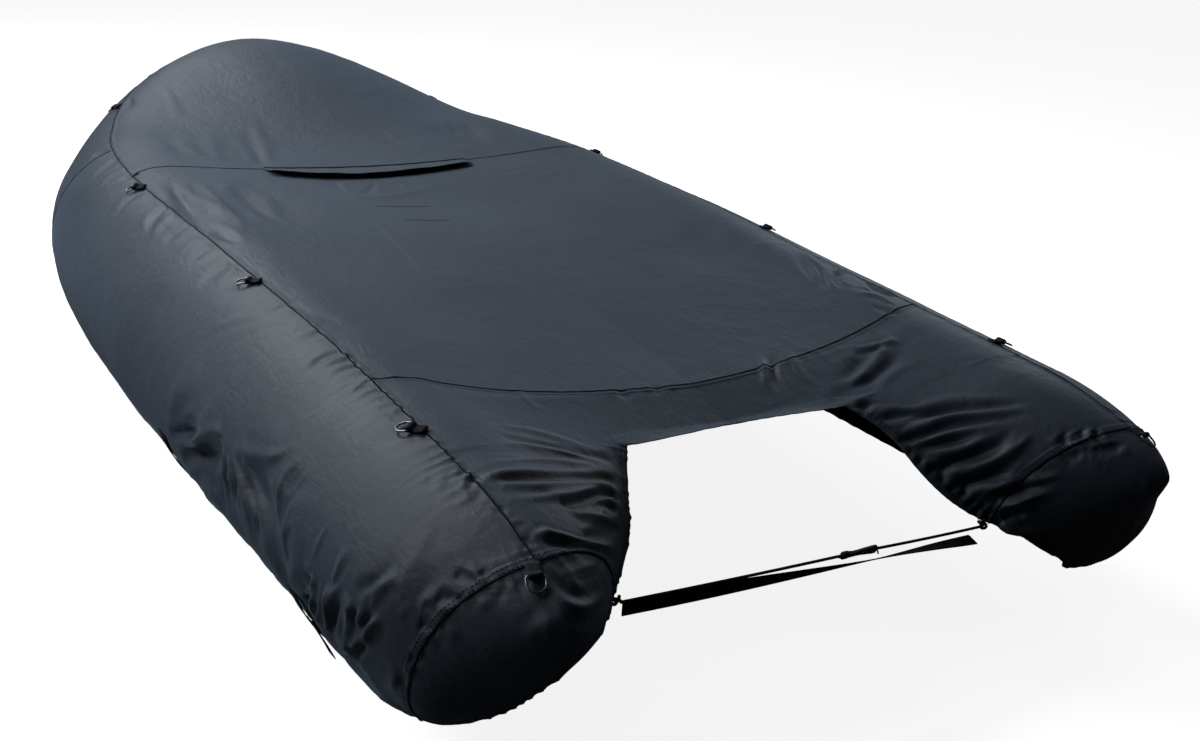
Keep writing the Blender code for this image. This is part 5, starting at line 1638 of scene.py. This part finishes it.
# The strap's points, and how far it is turned about its run there
STRAP = (
    (-0.367, 0.110, 0.2165, 84.0),
    (-0.300, 0.110, 0.2128, 84.0),
    (-0.220, 0.110, 0.2083, 90.0),
    (-0.130, 0.110, 0.2032, 102.0),
    (-0.040, 0.110, 0.1975, 118.0),
    (0.050, 0.110, 0.1920, 133.0),
    (0.130, 0.110, 0.1880, 145.0),
    (0.200, 0.110, 0.1850, 158.0),
    (0.270, 0.110, 0.1820, 174.0),
    (0.320, 0.110, 0.1790, 186.0),
    (0.362, 0.110, 0.1765, 194.0),
)


def round_bar(name, path, radius, sides=14, closed=False):
    """A round bar along a path of points."""
    verts, faces = [], []
    count = len(path)
    normal = None
    for k, point in enumerate(path):
        before = path[k - 1] if (k or closed) else point
        after = path[(k + 1) % count] if (k + 1 < count or closed) else point
        run = (after - before).normalized()
        if normal is None:
            normal = run.orthogonal().normalized()
        normal = (normal - run * normal.dot(run)).normalized()
        side = run.cross(normal)
        for m in range(sides):
            turn = 2.0 * math.pi * m / sides
            verts.append(tuple(point + (normal * math.cos(turn) + side * math.sin(turn)) * radius))
    for k in range(count if closed else count - 1):
        low, high = k * sides, ((k + 1) % count) * sides
        offset = 0
        if closed and k == count - 1:
            distances = [(Vector(verts[low]) - Vector(verts[high + m])).length for m in range(sides)]
            offset = distances.index(min(distances))
        for m in range(sides):
            beyond = [high + (m + 1 + offset) % sides, high + (m + offset) % sides]
            faces.append([low + m, low + (m + 1) % sides, *beyond])
    if not closed:
        faces += [list(range(sides))[::-1], [len(verts) - sides + m for m in range(sides)]]
    made = new_mesh_object(name, verts, faces)
    return face_outward(made)


RAY_START = 0.05  # how far off the cloth a ray starts


def seat(spot, down, turn, reach):
    """Where a loop lies on the cloth: its foot, and its ways across, down and out."""
    near, out, _, _ = TREE.find_nearest(spot + down.normalized() * reach / 2.0)
    down = (down - out * down.dot(out)).normalized()
    down = Matrix.Rotation(math.radians(turn), 3, out) @ down
    across = down.cross(out)
    foot = spot - out * (spot - near).dot(out)
    lift = 0.0
    for along in np.linspace(0.0, 1.0, 5):
        for wide in (-0.5, 0.0, 0.5):
            place = foot + down * reach * float(along) + across * WEB_WIDTH * wide
            hit = TREE.ray_cast(place + out * RAY_START, -out)[0]
            if hit:
                lift = max(lift, (hit - place).dot(out))
    return foot + out * (min(lift, SEAT_LIFT) + SEAT_GAP), across, down, out


def arc(x, y, radius, angles):
    """Points of an arc, by the angles in degrees."""
    turns = [math.radians(angle) for angle in angles]
    return [(x + radius * math.cos(turn), y + radius * math.sin(turn)) for turn in turns]


def loop_and_ring(name, axes):
    """A webbing loop folded over the straight bar of a D-ring."""
    origin, across, down, out = axes
    base = WEB_THICK / 2.0
    top = base + WEB_THICK + LOOP_GAP
    eye = (LOOP_LENGTH, base + LOOP_EYE)
    path = [(along, base) for along in np.linspace(0.0, LOOP_LENGTH, 7)]
    path += arc(*eye, LOOP_EYE, np.linspace(-75.0, 150.0, 16))
    last = path[-1]
    neck = (LOOP_LENGTH - LOOP_THROAT, top)
    for share in (0.35, 0.7):
        path.append((mix(last[0], neck[0], share), mix(last[1], neck[1], 1.0 - (1.0 - share) ** 2)))
    path += [(along, top) for along in np.linspace(neck[0], 0.0, 5)]
    points = [origin + down * float(along) + out * float(up) for along, up in path]
    loop = ribbon_object(f"webbing_loop_{name}", points, [across] * len(points), WEB_WIDTH)
    bar = origin + down * eye[0] + out * eye[1]
    hit = TREE.ray_cast(bar + down * RING_DEPTH + out * RAY_START, -out)[0]
    fall = (bar - hit).dot(out) - RING_WIRE - RING_CLEAR if hit else RING_DEPTH
    tilt = math.asin(max(-0.8, min(fall / RING_DEPTH, 0.8)))
    hang = down * math.cos(tilt) - out * math.sin(tilt)
    bend = RING_HALF_WIDTH - RING_CORNER
    flat = [(wide, 0.0) for wide in np.linspace(-bend, bend, 5)]
    flat += arc(bend, RING_CORNER, RING_CORNER, np.linspace(-90.0, 0.0, 6)[1:])
    flat += arc(0.0, RING_DEPTH - RING_HALF_WIDTH, RING_HALF_WIDTH, np.linspace(0.0, 180.0, 21))
    flat += arc(-bend, RING_CORNER, RING_CORNER, np.linspace(180.0, 270.0, 6)[:-1])
    wire = [bar + across * float(wide) + hang * float(low) for wide, low in flat]
    ring = round_bar(f"d_ring_{name}", wire, RING_WIRE, closed=True)
    finished(loop, LOOP_WEBBING if name.endswith("5") else WEBBING, "webbing", f"loop_{name}")
    finished(ring, METAL, "ring_metal", f"ring_{name}")


def add_loops():
    seats = []
    for side, number, y, turn in SIDE_LOOPS:
        s = float(length_at(y))
        angle = float(seam_angle(s))
        seats.append((side, number, on_roll(s, angle), on_roll(s, angle - LOWER_ANGLE), turn))
    for side, number, angle, turn in CAP_LOOPS:
        s = float(cap_seam_s(angle))
        seats.append((side, number, on_roll(s, angle), on_roll(s - LOWER_ALONG, angle), turn))
    for side, number, spot, lower, turn in seats:
        flip = Vector((side, 1.0, 1.0))
        spot, lower = Vector(spot), Vector(lower)
        name = f"{dict(SIDES)[side]}_{number}"
        loop_and_ring(name, seat(spot * flip, (lower - spot) * flip, turn, LOOP_LENGTH))


def tab(word, side, number, width, offs, stations):
    """A webbing tab that lies on the cloth and hangs past the hem."""
    def spread(values):
        return np.interp(np.linspace(0, 1, TAB_STEPS), np.linspace(0, 1, len(values)), values)

    flip = Vector((side, 1, 1))
    points, outs = [], []
    for y, angle, off in zip(*(spread(values) for values in zip(*stations)), spread(offs)):
        s = float(length_at(y))
        point, centre = Vector(on_roll(s, angle)), Vector(roll(s)[0][0])
        out = (point - centre).normalized()
        point, out = point * flip, out * flip
        hit = TREE.ray_cast(point + out * RAY_START, -out)[0] if angle > TAB_FREE_ANGLE else None
        lift = max(off, (hit - point).dot(out) + TAB_GAP) if hit else off
        points.append(point + out * lift)
        outs.append(out)
    for _ in range(3):
        inner = [(a + b + c) / 3.0 for a, b, c in zip(points, points[1:], points[2:])]
        points = [points[0], *inner, points[-1]]
    ends = [points[0], *points, points[-1]]
    across = [(after - before).cross(out) for before, after, out in zip(ends, ends[2:], outs)]
    name = f"tab_{word}_{number}"
    made = finished(ribbon_object(f"webbing_{name}", points, across, width), WEBBING, "webbing", name)


add_loops()
for tab_side, tab_word in SIDES:
    for tab_number, tab_facts in TABS.items():
        tab(tab_word, tab_side, tab_number, *tab_facts)


def cord_points(first, last):
    """Points of a cord that sags a little between its ends."""
    points = []
    for share in np.linspace(0.0, 1.0, CORD_STEPS):
        drop = CORD_SAG * 4.0 * share * (1.0 - share)
        points.append(first.lerp(last, float(share)) - Vector((0.0, 0.0, drop)))
    return points


def cord_object(name, points, radius):
    data = bpy.data.curves.new(name, "CURVE")
    data.dimensions = "3D"
    data.bevel_depth = radius
    data.bevel_resolution = 5
    data.use_fill_caps = True
    spline = data.splines.new("POLY")
    spline.points.add(len(points) - 1)
    for place, point in zip(spline.points, points):
        place.co = (*(point - ORIGIN), 1.0)
    spline.use_smooth = True
    made = bpy.data.objects.new(name, data)
    bpy.context.scene.collection.objects.link(made)
    return made


def hook_axes():
    """The hook's middle, and its ways along the cord, up and through its flat face."""
    port_end, starboard_end = CORD_END[-1.0], CORD_END[1.0]
    along = (starboard_end - port_end).normalized()
    centre = port_end.lerp(starboard_end, (HOOK_X - port_end.x) / (starboard_end.x - port_end.x))
    up = (Vector((0.0, -0.5, 1.0)) - along * along.z).normalized()
    return centre, along, up, along.cross(up)


HOOK_OUTLINE = (
    (0.042, 0.001),
    (0.038, 0.0055),
    (0.029, 0.008),
    (0.012, 0.0075),
    (-0.004, 0.005),
    (-0.017, 0.0045),
    (-0.030, 0.0065),
    (-0.039, 0.0045),
    (-0.042, 0.0),
    (-0.038, -0.005),
    (-0.026, -0.007),
    (-0.010, -0.0055),
    (0.008, -0.006),
    (0.024, -0.008),
    (0.038, -0.0055),
)
HOOK_HOLE = (0.009, 0.003)  # its place along the hook and its radius
HOOK_THICK = 0.006
# Rings of points round the body: how far out from the hole, and how high through the thickness
HOOK_RINGS = (
    *((1.0, -0.5), (1.0, 0.5), (0.93, 0.93), (0.80, 1.0), (0.25, 1.0), (0.08, 0.9)),
    *((0.0, 0.5), (0.0, -0.5), (0.08, -0.9), (0.25, -1.0), (0.80, -1.0), (0.93, -0.93)),
)


def hook_object():
    """The moulded hook: a flat body with rounded edges and a hole."""
    centre, along, up, face = hook_axes()
    outline = smooth_through([(*place, 0.0) for place in HOOK_OUTLINE + HOOK_OUTLINE[:1]], 91)[:-1]
    at, radius = HOOK_HOLE
    angles = np.arctan2(outline[:, 1], outline[:, 0] - at)
    hole = np.stack([at + radius * np.cos(angles), radius * np.sin(angles)], -1)
    rings = []
    for reach, level in HOOK_RINGS:
        flat = mix(hole, outline[:, :2], reach)
        rise = face * (level * HOOK_THICK / 2.0)
        rings.append([centre + along * float(a) + up * float(b) + rise for a, b in flat])
    n = len(outline)
    verts = [tuple(point) for ring in rings for point in ring]
    faces = []
    for k in range(len(rings)):
        for m in range(n):
            low, high = k * n, ((k + 1) % len(rings)) * n
            faces.append([low + m, low + (m + 1) % n, high + (m + 1) % n, high + m])
    made = new_mesh_object("hook_body", verts, faces)
    return face_outward(made)


HOOK = finished(hook_object(), PLASTIC, "moulded_hook", "cord_hook")


# Columns: place along the hook, half height of the turns, and how far the tail runs along the hook
WRAPS = ((-0.030, 0.0068, -0.004), (0.030, 0.0078, 0.010))
WRAP_TURNS = 4.2
WRAP_LENGTH = 0.011
WRAP_DEPTH = 0.0046
WRAP_RADIUS = 0.0013
TAIL_DROP = 0.012
TAIL_RADIUS = 0.0014
KNOT_SIZE = 0.0027
KNOT_RADIUS = 0.0026
KNOT_AWAY = 0.004
KNOT_TURN = 0.9


def hook_wraps():
    """Turns of cord that bind the cord's ends to the hook, and their short tails."""
    made = []
    centre, along, up, face = hook_axes()
    for number, (place, high, tail_run) in enumerate(WRAPS, 1):
        path = []
        for share in np.linspace(0.0, 1.0, int(WRAP_TURNS * 20)).tolist():
            turn = 2.0 * math.pi * WRAP_TURNS * share
            spot = centre + along * (place + (share - 0.5) * WRAP_LENGTH)
            path.append(spot + up * high * math.cos(turn) + face * WRAP_DEPTH * math.sin(turn))
        start = path[0] if number == 1 else path[-1]
        steps = np.linspace(0.0, 1.0, 9).tolist()
        tail = [start + (along * tail_run * step - up * TAIL_DROP * step**1.3) for step in steps]
        for word, route, radius in (("wrap", path, WRAP_RADIUS), ("tail", tail, TAIL_RADIUS)):
            bar = round_bar(f"hook_{word}_{number}", route, radius, sides=8)
            made.append(finished(bar, ELASTIC, "elastic_cord"))
    return made


def hem_knot(name, centre, turned):
    """The drawn-up knot of cord and cloth where the cord leaves the hem."""
    path = []
    for share in np.linspace(0.0, 1.0, 120, endpoint=False).tolist():
        t = 2.0 * math.pi * share
        x = math.sin(t) + 2.0 * math.sin(2.0 * t)
        y = math.cos(t) - 2.0 * math.cos(2.0 * t)
        local = Vector((x, y, -1.3 * math.sin(3.0 * t)))
        path.append(centre + Matrix.Rotation(turned, 3, "X") @ local * KNOT_SIZE)
    bar = round_bar(name, path, KNOT_RADIUS, sides=10, closed=True)
    return finished(bar, ELASTIC, "elastic_cord")


def add_cords():
    """The elastic cord in two pieces, from the hems to the hook."""
    wraps = hook_wraps()
    centre, along, _, _ = hook_axes()
    for side, word in SIDES:
        hem_end = CORD_END[side]
        route = cord_points(hem_end, centre + along * side * (HOOK_LENGTH / 2.0 + HOOK_GAP))
        cord = cord_object(f"cord_{word}", route, CORD_RADIUS)
        finished(cord, ELASTIC, "elastic_cord", f"drawcord_{word}")
        middle = hem_end + Vector((side, 1.0, 0.5)) * KNOT_AWAY
        knot = hem_knot(f"hem_knot_{word}", middle, KNOT_TURN * side)


def add_strap():
    rows = smooth_through(STRAP, STRAP_STEPS)
    turns = [math.radians(row[3]) for row in rows]
    across = [(0.0, math.cos(turn), math.sin(turn)) for turn in turns]
    strap = ribbon_object("webbing_strap", rows[:, :3], across, STRAP_WIDTH)
    finished(strap, STRAP_WEBBING, "webbing", "strap_stern")


add_cords()
add_strap()


# ---------------------------------------------------------------- floor and light


FLOOR_REACH = 40.0
FLOOR_DROP = 0.012  # of the floor below working height 0
FLOOR_GLOW = 0.88


def add_floor():
    """A plain pale floor. It throws little light back up, so the ends that face the camera stay dark."""
    data = bpy.data.meshes.new("floor")
    low = -float(ORIGIN.z) - FLOOR_DROP
    corners = [(x * FLOOR_REACH, y * FLOOR_REACH, low) for x, y in ((-1, -1), (1, -1), (1, 1), (-1, 1))]
    data.from_pydata(corners, [], [(0, 1, 2, 3)])
    made = bpy.data.objects.new("floor", data)
    bpy.context.scene.collection.objects.link(made)
    nodes = Nodes("floor")
    seen_straight = nodes.add("ShaderNodeLightPath").outputs["Is Camera Ray"]
    nodes.set(
        Base_Color=nodes.mix(seen_straight, (0.10, 0.10, 0.10), (0.80, 0.80, 0.80)),
        Roughness=0.9,
        Specular_IOR_Level=0.1,
        Emission_Color=(1.0, 1.0, 1.0, 1.0),
        Emission_Strength=nodes.times(seen_straight, FLOOR_GLOW),
    )
    data.materials.append(nodes.material)


def add_light(name, at, target, size, power):
    data = bpy.data.lights.new(name, "AREA")
    data.shape = "RECTANGLE"
    data.size, data.size_y = size
    data.energy = power
    data.color = (0.90, 0.95, 1.0)
    made = bpy.data.objects.new(name, data)
    place = Vector(at)
    made.matrix_world = (Vector(target) - place).to_track_quat("-Z", "Y").to_matrix().to_4x4()
    made.matrix_world.translation = place
    bpy.context.scene.collection.objects.link(made)


add_floor()
add_light("key", (-0.9, 3.2, 3.2), (-0.1, 0.4, -0.1), (2.4, 1.8), 112.0)
add_light("side", (-3.3, 0.9, 1.8), (-0.4, -0.2, -0.1), (1.8, 1.2), 48.0)
add_light("far", (3.4, 1.4, 1.0), (0.4, 0.1, -0.1), (2.0, 1.2), 10.0)


# The studio's screen: its strength by how far ahead a direction points
WORLD_RAMP = {"From Min": -0.7, "From Max": 0.6, "To Min": 0.0, "To Max": 0.10}


def add_world():
    """White to the camera, and a faint light from ahead on everything else."""
    world = bpy.data.worlds.new("studio")
    bpy.context.scene.world = world
    world.use_nodes = True
    tree = world.node_tree
    place = tree.nodes.new("ShaderNodeTexCoord")
    axes = tree.nodes.new("ShaderNodeSeparateXYZ")
    ramp = tree.nodes.new("ShaderNodeMapRange")
    ramp.interpolation_type = "SMOOTHSTEP"
    tree.links.new(place.outputs["Generated"], axes.inputs[0])
    tree.links.new(axes.outputs[1], ramp.inputs["Value"])
    for socket, value in WORLD_RAMP.items():
        ramp.inputs[socket].default_value = value
    straight = tree.nodes.new("ShaderNodeLightPath")
    either = tree.nodes.new("ShaderNodeMath")
    either.operation = "MAXIMUM"
    tree.links.new(straight.outputs["Is Camera Ray"], either.inputs[0])
    tree.links.new(ramp.outputs["Result"], either.inputs[1])
    tree.links.new(either.outputs[0], tree.nodes["Background"].inputs["Strength"])
    tree.nodes["Background"].inputs["Color"].default_value = (1.0, 1.0, 1.0, 1.0)
    bpy.context.scene.view_settings.view_transform = "Standard"


add_world()
